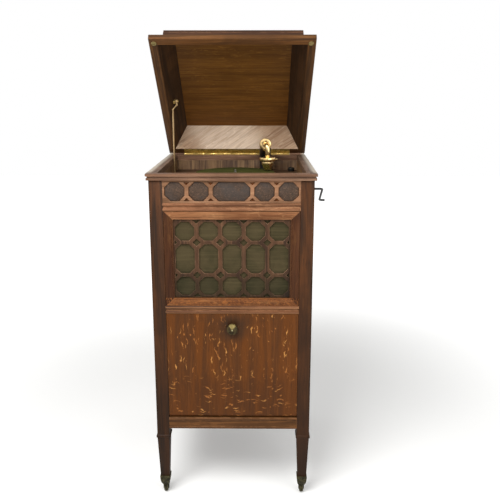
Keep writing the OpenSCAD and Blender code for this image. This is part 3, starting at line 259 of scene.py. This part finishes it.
def eased(node, body, slot, finish, bevel, segments=2):
    """A copy of a CAD node with its triangles merged and its edges eased, as by sandpaper.
    The bevel, in millimetres, puts its faces in a second slot of the same finish, so that
    they can be told apart, and they then carry the value edge."""
    piece = bpy.data.objects.new(node + "_worked", frame["nodes"][node].data.copy())
    bpy.context.scene.collection.objects.link(piece)
    activate(piece)
    bpy.ops.object.mode_set(mode="EDIT")
    bpy.ops.mesh.select_all(action="SELECT")
    bpy.ops.mesh.remove_doubles(threshold=0.00001)
    bpy.ops.mesh.dissolve_limited(angle_limit=radians(1.5))
    bpy.ops.object.mode_set(mode="OBJECT")
    piece.data.materials.clear()
    for _ in range(2):
        piece.data.materials.append(finish.material)
    for face in piece.data.polygons:
        face.material_index = 0
    ease = piece.modifiers.new("ease", "BEVEL")
    ease.width, ease.segments = bevel / 1000, segments
    ease.limit_method, ease.angle_limit = "ANGLE", radians(28)
    ease.material = 1
    bpy.ops.object.modifier_apply(modifier=ease.name)
    edge = piece.data.attributes.new("edge", "FLOAT", "FACE")
    for face in piece.data.polygons:
        edge.data[face.index].value = float(face.material_index)
        face.material_index = 0
    bpy.ops.object.shade_smooth_by_angle(angle=radians(32))
    return seat(piece, body, slot, finish, node)


post_oak = oak("oak_posts", "Z", (38, 22, 10), (74, 42, 18), (92, 56, 27), foot=0.6, shift=1,
               worn=(128, 92, 64))
for node in ("front_posts", "back_posts"):
    eased(node, "cabinet", "oak_dark", post_oak, 1.1)


# Side panels, back and inner boards
# Thin quarter-sawn panels are held in the posts. The boards inside carry the records and the
# horn, and are left plain and duller than the outside.

panel_oak = oak("oak_panels", "Z", (44, 28, 16), (78, 48, 27), (122, 80, 44), fleck=0.6, shift=22)
shelf_oak = oak("oak_shelves", "X", (50, 36, 24), (82, 60, 41), (104, 79, 55), shift=31)
divider_oak = oak("oak_dividers", "Y", (74, 52, 33), (120, 88, 57), (144, 108, 74), shift=38)
for node in ("left_side_panel", "right_side_panel", "back_panel"):
    eased(node, "cabinet", "oak_dark", panel_oak, 0.8)
for node in ("bottom_board", "horn_shelf"):
    eased(node, "cabinet", "oak_dark", shelf_oak, 0.8)
eased("record_dividers", "cabinet", "oak_light", divider_oak, 1.0)


# Rim, well lining and motor board
# The rim is a stepped moulding, mitred at the corners and rubbed pinkish where hands rest.
# The tops of its side bars are painted pale grey along their outer edges. The well is lined
# with upright-grained oak, and the motor board lies on a ledge in it.

def joint(name):
    """What the frame says of a joint, such as its place in metres and its range."""
    return next(entry for entry in frame["joints"] if entry["name"] == name)


middle_x, middle_y = joint("lid_hinge")["pos_m"][0], joint("crank_turn")["pos_m"][1]
rim_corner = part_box("top_rim")[0]
rim_halves = (middle_x - rim_corner.x, middle_y - rim_corner.y)
rim_oak = oak("oak_rim", "X", (84, 59, 43), (122, 89, 68), (158, 125, 99), shift=44,
              worn=(170, 136, 116), sides=(236, 246, 250),
              frame_of=((middle_x, middle_y), (0, 1), rim_halves))
# The outer edges of the side bars' tops are painted pale grey.
off_middle = abs(rim_oak.along(0) - middle_x)
outer_edge = rim_oak.between(off_middle, 0.217, 0.229)
top_face = rim_oak.between(rim_oak.along(2), 0.986, 0.989)
past_mitre = rim_oak.between(rim_oak.along(1) + off_middle, -0.03, 0.02)
rim_oak.paint(outer_edge * top_face * past_mitre * 0.8, (184, 174, 158))

lining_oak = oak("oak_lining", "Z", (66, 44, 28), (114, 86, 56), (150, 118, 80), shift=51,
                 worn=(140, 116, 92))
board_oak = oak("oak_motor_board", "X", (54, 38, 25), (86, 63, 43), (108, 84, 59), shift=57)
eased("top_rim", "cabinet", "oak", rim_oak, 1.8, 3)
eased("well_lining", "cabinet", "oak", lining_oak, 1.0)
eased("motor_board", "cabinet", "oak", board_oak, 0.8)


# Frieze
# Sawn fretwork is glued on a backing board between the posts. It frames five plaques, dark
# stained and pebbled like leather.

frieze_oak = oak("oak_frieze", "X", (98, 68, 46), (142, 102, 74), (172, 130, 98), shift=63,
                 worn=(180, 140, 108))
shade_oak = oak("oak_frieze_ground", "X", (70, 36, 16), (122, 70, 32), (140, 86, 46), shift=69)

plaque = Finish("stained_plaque", (54, 42, 33), Specular_IOR_Level=0.2)
pebble = plaque.noise((300, 300, 300), 4, 1.2, 2)
swirl = plaque.noise((85, 85, 190), 3, 3.4, 6)
stain = plaque.noise((22, 22, 22), 3, 0.4, 9)
plaque.paint(plaque.between(pebble, 0.4, 0.66) * 0.8, (82, 62, 48))
plaque.paint(plaque.between(swirl, 0.54, 0.68) * 0.65, (124, 94, 74))
plaque.paint(plaque.between(stain, 0.42, 0.66) * 0.5, (60, 56, 54))
plaque.gloss(0.45 + pebble * 0.3)
plaque.relief(pebble + swirl, 0.0009, 0.8)

eased("frieze_board", "cabinet", "oak_light", shade_oak, 0.6)
eased("frieze_fret", "cabinet", "oak_light", frieze_oak, 0.7)
eased("frieze_plaques", "cabinet", "plaque", plaque, 0.6)


# Mouldings and bottom rail
# Beaded rails run between the front posts, above and below the grille and under the door.
# The one below the grille is darker, with a pale line on each of its two beads.

moulding_oak = oak("oak_mouldings", "X", (88, 54, 33), (138, 92, 62), (182, 134, 96), shift=75,
                   fleck=0.4, worn=(186, 140, 104))
rail_oak = oak("oak_bottom_rail", "X", (66, 40, 17), (94, 58, 27), (136, 88, 46), shift=82,
               fleck=0.3, worn=(140, 98, 64))
low_oak = oak("oak_low_moulding", "X", (70, 42, 25), (112, 72, 46), (150, 106, 72), shift=79,
              fleck=0.3, worn=(176, 128, 88))
moulding_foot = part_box("low_moulding")[0].z
for bead_rise in (0.001, 0.0182):
    off_bead = abs(low_oak.along(2) - (moulding_foot + bead_rise))
    line = 1 - low_oak.between(off_bead, 0.0006, 0.0018)
    low_oak.paint(line * 0.6, (190, 138, 96))
eased("mid_moulding", "cabinet", "oak_light", moulding_oak, 0.6)
eased("low_moulding", "cabinet", "oak_light", low_oak, 0.6)
eased("front_bottom_rail", "cabinet", "oak_light", rail_oak, 0.6)


# Grille
# A loose mitred frame with duller sides holds sawn oak fretwork, and behind that a stretched
# cloth, plainly woven in olive with slubs. All three are darker low down.

def centre(node):
    """The middle of a CAD node's box, in metres."""
    low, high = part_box(node)
    return (low + high) / 2


frame_middle = centre("grille_frame")
frame_halves = (0.1885, 0.13665)
frame_oak = oak("oak_grille_frame", "X", (94, 55, 30), (132, 86, 54), (172, 126, 84),
                fleck=0.5, shift=88, worn=(168, 122, 84), sides=(140, 126, 106),
                frame_of=((frame_middle.x, frame_middle.z), (0, 2), frame_halves))
low_bar = 1 - frame_oak.between(frame_oak.along(2), 0.634, 0.637)
curl = frame_oak.noise((70, 70, 160), 3, 2.6, 91)
frame_oak.paint(low_bar * 0.75, (204, 184, 156), "MULTIPLY")
frame_oak.paint(low_bar * frame_oak.between(curl, 0.48, 0.64) * 0.65, (152, 92, 44))
fret_oak = oak("oak_grille_fret", "Z", (50, 33, 21), (84, 57, 38), (114, 82, 58), shift=94,
               worn=(138, 106, 82))
low_rows = 1 - fret_oak.between(fret_oak.along(2), 0.67, 0.72)
fret_oak.paint(low_rows, (170, 178, 168), "MULTIPLY")

cloth = Finish("grille_cloth_weave", (65, 58, 38), Specular_IOR_Level=0.1, Roughness=0.92)
warp = cloth.node("ShaderNodeTexWave", {"bands_direction": "X"}, {
    "Vector": cloth.spot, "Scale": 260, "Distortion": 0.6, "Detail": 1}, "Fac")
weft = cloth.node("ShaderNodeTexWave", {"bands_direction": "Z"}, {
    "Vector": cloth.spot, "Scale": 200, "Distortion": 0.8, "Detail": 1}, "Fac")
slub = cloth.noise((9, 9, 240), 4, 0.2, 4)
dust = cloth.noise((16, 16, 12), 4, 0.6, 8)
cloth.paint(cloth.between(dust, 0.38, 0.62), (80, 69, 47))
cloth.paint(cloth.between(slub, 0.45, 0.7) * 0.5, (96, 84, 58))
cloth.paint((1 - warp * weft) * 0.35, (48, 44, 28))
low_part = 1 - cloth.between(cloth.along(2), 0.68, 0.73)
side_part = cloth.between(abs(cloth.along(0) - frame_middle.x), 0.02, 0.05)
cloth.paint(low_part * side_part, (214, 221, 223), "MULTIPLY")
cloth.relief(warp + weft + slub, 0.0004)

eased("grille_frame", "grille", "oak_light", frame_oak, 1.2)
eased("grille_fret", "grille", "oak", fret_oak, 0.9)
stretched_cloth = eased("grille_cloth", "grille", "cloth", cloth, 0.2, 1)


# Drop door and its knob
# The door is one quarter-sawn board, hung at its foot. Its pale rays lean in from both sides
# towards the middle, and lie level lower down. A shadow is painted on the oak round the
# knob, an eight-sided brass pyramid whose top facets and tip carry painted highlights.

knob_spot = centre("door_knob")
knob_spot.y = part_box("drop_door")[0].y
door = Finish("oak_door", (92, 49, 10), Specular_IOR_Level=0.14, Coat_Weight=0.02,
              Coat_Roughness=0.28)
streak = door.noise((220, 220, 8), 4, 0.3, 104)
figure = door.noise((24, 24, 2.4), 5, 1.4, 101)
pore = door.between(door.noise((900, 900, 34), 2, 0, 107), 0.58, 0.7)
door.paint((1 - door.between(figure, 0.36, 0.62)) * 0.7, (66, 37, 12))
door.paint(door.between(streak, 0.48, 0.76) * 0.45, (112, 64, 24))
wobble = door.noise((38, 38, 38), 3, 0, 111)
beside = door.along(0) - knob_spot.x
right_half = beside > 0
door.spot = door.point(abs(beside) + wobble * 0.034, right_half * 0.31 + wobble * 0.02,
                       door.along(2) + wobble * 0.03)
low = 1 - door.between(door.along(2) + wobble * 0.1, 0.41, 0.46)
high = 1 - low
for scale, lean, size, rarity, where in (
        ((165, 90, 21), -0.26, 0.3, 0.53, high), ((80, 90, 40), -0.2, 0.2, 0.62, high),
        ((26, 60, 150), 0.2, 0.3, 0.53, low), ((50, 60, 70), 0.0, 0.2, 0.6, low)):
    leaning = door.node("ShaderNodeMapping", None, {
        "Vector": door.spot, "Scale": scale, "Rotation": (0, lean, 0)})
    off_ray = door.node("ShaderNodeTexVoronoi", None, {"Vector": leaning, "Scale": 1}, "Distance")
    chance = door.noise(tuple(0.42 * v for v in scale), 1, 0, 115)
    ray = ((1 - door.between(off_ray, size * 0.45, size)) * where
           * door.between(chance, rarity - 0.1, rarity))
    door.paint(ray * 0.8, (164, 102, 48))
    door.paint(ray * door.between(wobble, 0.5, 0.6) * 0.6, (196, 142, 76))
door.paint(low * 0.5, (216, 216, 222), "MULTIPLY")
door.paint(pore * 0.45, (40, 22, 10))
# Painted shadow on the oak round the knob.
off_knob = door.distance(knob_spot)
door.paint((1 - door.between(off_knob, 0.014, 0.06)) * 0.7, (40, 30, 20))
door.paint(door.edge() * 0.45, (140, 94, 56))
door.gloss(0.36 + figure * 0.24)
door.relief(streak - pore * 0.8)


def brass(name, bright, dull, polish=0.22, tarnish=0.5, metallic=1.0):
    """Lacquered brass, dulled in patches where the lacquer has gone."""
    metal = Finish(name, bright, Metallic=metallic)
    patch = metal.noise((95, 95, 95), 5, 0.8, 130)
    fine = metal.noise((700, 700, 700), 2, 0, 134)
    share = metal.between(patch, 0.4, 0.62) * tarnish
    metal.paint(share, dull)
    metal.paint(metal.edge() * 0.4, bright)
    metal.gloss(polish + share * 0.4 + fine * 0.08)
    metal.relief(patch + fine * 0.3, 0.00006)
    return metal


knob_brass = brass("brass_knob", (68, 56, 28), (38, 30, 16), 0.42, 0.8, 0.7)
# Painted highlights: the upper facets are painted lighter, and a bright glint is painted on the
# tip.
up_knob = knob_brass.along(2) - knob_spot.z
facet_highlight = up_knob - abs(knob_brass.along(0) - knob_spot.x) * 0.9
knob_brass.paint(knob_brass.between(facet_highlight, 0.0, 0.004) * 0.7, (150, 132, 80))
off_tip_glint = knob_brass.distance(knob_spot, skip=1)
knob_brass.paint((1 - knob_brass.between(off_tip_glint, 0.0012, 0.0024)) * 0.7, (204, 196, 150))
eased("drop_door", "door", "oak", door, 1.2)
eased("door_knob", "door", "brass", knob_brass, 0.5)


# Spring motor, horn and hidden irons
# The motor hangs under its board, turned steel wheels between iron plates. The horn is a
# pressed iron flare on its shelf. It and the motor's frame are stoved black. The door turns
# on hidden steel pins.

def japan(name, polish=0.3, pale=(48, 46, 40), shine=0.4):
    """Black stoved enamel, with dust and fine orange peel."""
    enamel = Finish(name, (20, 20, 18), Specular_IOR_Level=shine, Coat_Weight=shine / 2,
                    Coat_Roughness=0.2)
    dust = enamel.noise((40, 40, 40), 4, 0.4, 140)
    peel = enamel.noise((420, 420, 420), 2, 0, 143)
    enamel.paint(enamel.between(dust, 0.45, 0.7), pale)
    enamel.paint(enamel.edge() * 0.35, (84, 78, 62))
    enamel.gloss(polish + dust * 0.25)
    enamel.relief(peel, 0.00008)
    return enamel


steel = Finish("turned_steel", (168, 166, 158), Metallic=1.0)
turning = steel.noise((600, 600, 600), 3, 0, 147)
oil = steel.noise((30, 30, 30), 4, 0.6, 150)
steel.paint(steel.between(oil, 0.4, 0.65), (112, 100, 82))
steel.gloss(0.28 + oil * 0.25)
steel.relief(turning, 0.00005)

motor_iron = japan("black_japan", 0.34)
for node in ("motor_frame", "horn"):
    eased(node, "cabinet", "iron", motor_iron, 0.8)
for node, body in (("door_pivots", "cabinet"), ("spring_barrel", "barrel"),
                   ("barrel_arbor", "arbor"), ("winding_shaft", "winding"),
                   ("spindle", "turntable")):
    eased(node, body, "steel", steel, 0.25, 1)


# Turntable and felt
# A pressed steel platter, ten inches across, sits on the motor's spindle. A disc of green
# felt is glued to it, with its nap worn and its edge darkened.

felt = Finish("green_felt", (58, 61, 28), Specular_IOR_Level=0.05, Roughness=0.95)
fibre = felt.noise((900, 900, 900), 4, 1.5, 154)
nap = felt.noise((30, 30, 30), 5, 0.8, 158)
felt.paint(felt.between(nap, 0.38, 0.62) * 0.4, (76, 76, 36))
felt.paint(felt.between(fibre, 0.5, 0.7) * 0.4, (98, 92, 48))
felt.paint(felt.edge() * 0.5, (44, 44, 24))
felt.relief(fibre, 0.0005)
eased("turntable", "turntable", "steel", steel, 0.8)
eased("turntable_felt", "turntable", "felt", felt, 0.7)


# Start lever, speed knob and governor
# A small brass lever slides in the motor board, and a turned black knob sets the speed. The
# governor below carries three brass weights on flat springs.

small_brass = brass("brass_fittings", (178, 150, 92), (92, 76, 42), 0.26, 0.7)
eased("start_lever", "start_lever", "brass", small_brass, 0.4)
eased("governor", "governor", "brass", small_brass, 0.3, 1)
turned_black = japan("black_knob", 0.5, (62, 46, 32), 0.15)
eased("speed_knob", "speed_knob", "iron", turned_black, 0.7)


# Sound arm
# A black tube rises from the horn and bends forward to a brass nut. A polished elbow drops
# from it to the flat sound box, which carries a hinged weight with the needle. The turned nut
# has painted shade in its bore and round its rim, and one painted highlight ring.

polished = brass("brass_polished", (255, 224, 160), (156, 120, 66), 0.14, 0.35)
ringed = brass("brass_ringed", (255, 224, 160), (156, 120, 66), 0.14, 0.35)
radius = ringed.distance(centre("neck_nut"), skip=1)
bore_shade = 1 - ringed.between(radius, 0.0105, 0.0125)
rim_shade = ringed.between(radius, 0.0172, 0.0186)
# A painted highlight ring on the nut's face.
ring_highlight = 1 - ringed.between(abs(radius - 0.008), 0.0004, 0.0012)
ringed.paint(bore_shade * 0.6, (104, 66, 34))
ringed.paint(rim_shade * 0.75, (96, 68, 36))
ringed.paint(ring_highlight * 0.5, (226, 190, 132))
arm_iron = japan("black_arm", 0.22, (34, 32, 28))
eased("horn_neck", "sound_arm", "iron", arm_iron, 0.5)
eased("neck_collar", "cabinet", "brass", small_brass, 0.5)
eased("neck_nut", "sound_arm", "brass", ringed, 1.0, 3)
eased("sound_elbow", "sound_box", "brass", polished, 0.4)
eased("sound_box", "sound_box", "brass", polished, 0.8, 3)
eased("floating_weight", "floating_weight", "brass", polished, 0.6, 2)


# Lid
# Coffered oak, with four mitred walls, sloping sides and a raised top board. Inside, the
# ceiling is brown, warmer towards the hinge. The inner slopes are shaded and lit copies of one
# oak: the side slopes are nearly black, painted shade, and the back slope is a wavy tan, painted
# light, brightest across its middle and painted darker at its ends.

hinge_line = Vector(joint("lid_hinge")["pos_m"])
shut_angle = joint("lid_hinge")["range_deg"][1]
lid_turn = Matrix.Rotation(radians(shut_angle), 3, "X")


def laid_level(tilt=0.0, lean=0.0):
    """The rotation and shift that lay the open lid flat, or that slope of it which rises by
    tilt, with the grain leaning by an angle."""
    turn = Matrix.Rotation(lean, 3, "Z") @ Matrix.Rotation(tilt, 3, "X") @ lid_turn
    return turn.to_euler(), -(turn @ hinge_line)


def laid_height(piece, face):
    """How high the middle of a face lies on the shut lid, above the hinge line."""
    return (lid_turn @ (piece.matrix_world @ face.center - hinge_line)).z


lid_frame = ((0.0, middle_y - hinge_line.y), (0, 1), rim_halves)
back_slope, back_lean = radians(59.9), 0.6
lid_oak = oak("oak_lid_walls", "X", (64, 40, 19), (100, 63, 30), (134, 90, 48), shift=170,
              worn=(150, 112, 72), frame_of=lid_frame, sides=(216, 216, 206), turn=laid_level())
# The side slopes get a nearly black copy of the oak, painted shade.
shaded_side_oak = oak("oak_lid_sides_shaded", "Y", (40, 24, 11), (64, 40, 19), (88, 57, 30), shift=173,
               turn=laid_level())
# The back slope gets a pale tan copy of the oak, painted light.
lit_back_oak = oak("oak_lid_back_lit", "X", (160, 126, 98), (204, 173, 143), (236, 214, 188), shift=176,
               fleck=0.5, turn=laid_level(back_slope, back_lean))
# A pool of painted light across the middle of the back slope, and painted shade at its ends.
middle_light_pool = 1 - lit_back_oak.between(abs(lit_back_oak.along(0)), 0.05, 0.14)
lit_back_oak.paint(middle_light_pool * 0.45, (242, 224, 202))
lit_back_oak.paint((1 - middle_light_pool) * 0.8, (214, 208, 200), "MULTIPLY")
wave = lit_back_oak.noise((9, 150, 150), 4, 1.8, 185)
lit_back_oak.paint(lit_back_oak.between(wave, 0.5, 0.6) * 0.45, (176, 142, 114))
ceiling_oak = oak("oak_lid_ceiling", "X", (78, 48, 18), (120, 78, 31), (154, 105, 47), shift=178,
                  fleck=0.5, turn=laid_level(), bold=0.6)
near_hinge = ceiling_oak.between(ceiling_oak.along(1), -0.35, -0.05)
ceiling_oak.paint(near_hinge * 0.5, (150, 96, 38))
fine_grain = ceiling_oak.noise((7, 150, 150), 4, 0.9, 187)
ceiling_oak.paint(ceiling_oak.between(fine_grain, 0.44, 0.6) * 0.4, (84, 50, 18))
outer_oak = oak("oak_lid_outside", "X", (42, 25, 15), (74, 45, 27), (98, 65, 42), shift=181,
                worn=(110, 78, 52), turn=laid_level())

walls = eased("lid_walls", "lid", "oak", lid_oak, 1.2)
for finish in (shaded_side_oak, lit_back_oak, outer_oak):
    walls.data.materials.append(finish.material)
side_slope, rear_slope, outside = 1, 2, 3
wall_height = 0.018
# Each inner slope takes the shaded or the lit copy by the way it faces.
for face in walls.data.polygons:
    facing = lid_turn @ face.normal
    inner_slope = -0.95 < facing.z < -0.15
    if inner_slope and abs(facing.x) > 0.3:
        face.material_index = side_slope
    elif inner_slope and facing.y < -0.3:
        face.material_index = rear_slope
    elif laid_height(walls, face) > wall_height:
        face.material_index = outside

top_board = eased("lid_top_board", "lid", "oak", outer_oak, 1.6, 3)
top_board.data.materials.append(ceiling_oak.material)
ceiling = 1
for face in top_board.data.polygons:
    facing = lid_turn @ face.normal
    if facing.z < -0.95:
        face.material_index = ceiling


# Hinge, bumpers and lid stay
# A long brass hinge joins lid and rim, held by slotted screws, and two brass studs under the
# lid land on the rim. A straight rod on the left slides through a guide below the motor
# board and holds the lid open.

def screws(name, body, radius, spots):
    """One slotted, domed screw head is made, and a copy of it turned into place on each spot,
    a pair of the point it stands on and the way it faces. No two slots are turned alike."""
    height, slot_width, slot_depth, slot_turn = radius * 0.5, radius * 0.3, radius * 0.12, 2.4
    bpy.ops.mesh.primitive_cylinder_add(vertices=24, radius=radius, depth=height)
    head = bpy.context.object
    bevel = head.modifiers.new("dome", "BEVEL")
    bevel.width, bevel.segments, bevel.limit_method = radius * 0.2, 2, "ANGLE"
    bpy.ops.mesh.primitive_cube_add(size=1, location=(0, 0, height / 2),
                                    scale=(radius * 3, slot_width, slot_depth * 2))
    blade = bpy.context.object
    cut = head.modifiers.new("slot", "BOOLEAN")
    cut.object, cut.operation = blade, "DIFFERENCE"
    activate(head)
    for modifier in ("dome", "slot"):
        bpy.ops.object.modifier_apply(modifier=modifier)
    bpy.data.objects.remove(blade)
    heads = []
    for count, (point, facing) in enumerate(spots):
        activate(head)
        bpy.ops.object.duplicate(linked=False)
        copy = bpy.context.object
        copy.matrix_world = (Matrix.Translation(point)
                             @ facing.to_track_quat("Z", "Y").to_matrix().to_4x4()
                             @ Matrix.Rotation(count * slot_turn, 4, "Z"))
        heads.append(copy)
    bpy.data.objects.remove(head)
    for copy in heads:
        copy.select_set(True)
    bpy.context.view_layer.objects.active = heads[0]
    bpy.ops.object.join()
    heads[0].name = name
    bpy.ops.object.shade_smooth_by_angle(angle=radians(32))
    return seat(heads[0], body, "brass", small_brass)


hinge_brass = brass("brass_hinge", (176, 148, 76), (104, 84, 34), 0.36, 0.7, 0.35)
knuckle_brass = brass("brass_knuckles", (226, 198, 126), (140, 116, 62), 0.3, 0.7)
rod_brass = brass("brass_stay", (190, 160, 116), (128, 104, 70), 0.34, 0.4, 0.8)
bumper_brass = brass("brass_bumpers", (142, 124, 74), (84, 72, 36), 0.4, 0.7, 0.35)
for node, body, finish in (
        ("lid_hinge_leaf", "lid", hinge_brass), ("stay_guide", "cabinet", hinge_brass),
        ("lid_bumpers", "lid", bumper_brass), ("rim_hinge_leaf", "cabinet", knuckle_brass),
        ("stay_bracket", "lid", knuckle_brass)):
    eased(node, body, "brass", finish, 0.25, 1)
eased("stay_rod", "lid_stay", "brass", rod_brass, 0.3)

up, right = Vector((0, 0, 1)), Vector((1, 0, 0))
opened = lid_turn.inverted()
row_end, screw_pitch = 170, 34
screw_row = [Vector((x / 1000, -0.014, 0)) for x in range(-row_end, row_end + 1, screw_pitch)]
leaf_face = 0.00075 * up
screws("hinge_screws", "lid", 0.0026,
       [(hinge_line + opened @ (spot + leaf_face), opened @ -up) for spot in screw_row])
screws("rim_hinge_screws", "cabinet", 0.0026,
       [(hinge_line + spot - leaf_face, up) for spot in screw_row])
guide_thickness = 0.003
guide_face = centre("stay_guide")
guide_face.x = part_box("stay_guide")[0].x + guide_thickness
screws("guide_screws", "cabinet", 0.0022,
       [(guide_face + Vector((0, y, z)), right)
        for y, z in ((-0.009, 0.008), (0.009, 0.008), (-0.009, -0.008), (0.009, -0.008))])


# Crank and its plate
# A black iron rod, bent twice, winds the motor through the cabinet's right side. It runs in
# a brass plate with three screws, which are let in below the plate's face.

eased("crank", "winding", "iron", arm_iron, 0.5)
eased("crank_escutcheon", "cabinet", "brass", small_brass, 0.4)
crank_hole = Vector(joint("crank_turn")["pos_m"])
crank_hole.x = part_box("crank_escutcheon")[1].x
screw_sink, screw_ring = 0.0005, 0.0125
screws("crank_plate_screws", "cabinet", 0.0017,
       [(crank_hole + Vector((-screw_sink, screw_ring * cos(turn), screw_ring * sin(turn))), right)
        for turn in (pi / 2, pi * 7 / 6, pi * 11 / 6)])


# Casters
# Cast brass cups fit over the feet. A forked yoke swivels under each and carries one brass
# wheel. All of them are oxidised nearly black.

bronze = Finish("oxidised_bronze", (34, 31, 19), Metallic=0.6, Specular_IOR_Level=0.3)
crust = bronze.noise((130, 130, 130), 5, 1.0, 190)
bronze.paint(bronze.between(crust, 0.4, 0.62), (70, 65, 42))
bronze.paint(bronze.edge() * 0.5, (116, 108, 74))
bronze.gloss(0.42 + crust * 0.3)
bronze.relief(crust)
eased("caster_ferrules", "cabinet", "bronze", bronze, 0.5)
for corner in ("front_left", "front_right", "back_left", "back_right"):
    eased(corner + "_yoke", corner + "_caster", "bronze", bronze, 0.4)
    eased(corner + "_wheel", corner + "_roller", "bronze", bronze, 0.6)


# Floor, backdrop and light
# A plain white floor and surround, at full strength only where they are seen or mirrored, and
# two soft lamps at a plain level. The floor keeps the shadow.

seeing_rays = ("Is Camera Ray", "Is Glossy Ray", "Is Transmission Ray")
floor_finish = Finish("white_floor", (246, 246, 244), Specular_IOR_Level=0.1, Roughness=0.8,
                      Emission_Strength=1)
grain = floor_finish.noise((40, 40, 40), 2, 0, 200)
floor_finish.paint(grain * 0.2, (250, 250, 248))
seen = sum(floor_finish.node("ShaderNodeLightPath", out=ray) for ray in seeing_rays)
far = floor_finish.between(floor_finish.distance((0, 0, 0)), 0.7, 2.4)
glow = floor_finish.node("ShaderNodeMix", {"data_type": "RGBA"}, {
    0: seen * (0.2 + far * 0.6), 6: (0, 0, 0, 1), 7: (1, 1, 1, 1)}, 2)
floor_finish.tree.links.new(glow.socket, floor_finish.shader.inputs["Emission Color"])
bpy.ops.mesh.primitive_plane_add(size=14, location=(0, 0, -0.0005))
floor = bpy.context.object
floor.name = "studio_floor"
floor.data.materials.append(floor_finish.material)

world = bpy.data.worlds.new("studio")
bpy.context.scene.world = world
world.use_nodes = True
tree = world.node_tree
tree.nodes.clear()
sight = tree.nodes.new("ShaderNodeLightPath")
seen = sum(Value(tree, sight.outputs[ray]) for ray in seeing_rays)
plain_level, full_level = 0.42, 1.0
level = tree.nodes.new("ShaderNodeMapRange")
level.inputs["To Min"].default_value = plain_level
level.inputs["To Max"].default_value = full_level
tree.links.new(seen.socket, level.inputs["Value"])
surround = tree.nodes.new("ShaderNodeBackground")
surround.inputs["Color"].default_value = (1, 1, 1, 1)
tree.links.new(level.outputs[0], surround.inputs["Strength"])
output = tree.nodes.new("ShaderNodeOutputWorld")
tree.links.new(surround.outputs[0], output.inputs["Surface"])

cabinet_heart = Vector((0, 0, 0.8))
for name, spot, size, power in (
        ("key", (-0.7, -1.5, 2.3), 1.2, 52), ("fill", (1.5, -2.0, 1.5), 1.8, 22)):
    bpy.ops.object.light_add(type="AREA", location=spot)
    lamp = bpy.context.object
    lamp.name = name + "_lamp"
    lamp.data.size, lamp.data.energy = size, power
    toward = cabinet_heart - Vector(spot)
    lamp.rotation_euler = toward.to_track_quat("-Z", "Y").to_euler()

bpy.context.scene.view_settings.view_transform = "Standard"
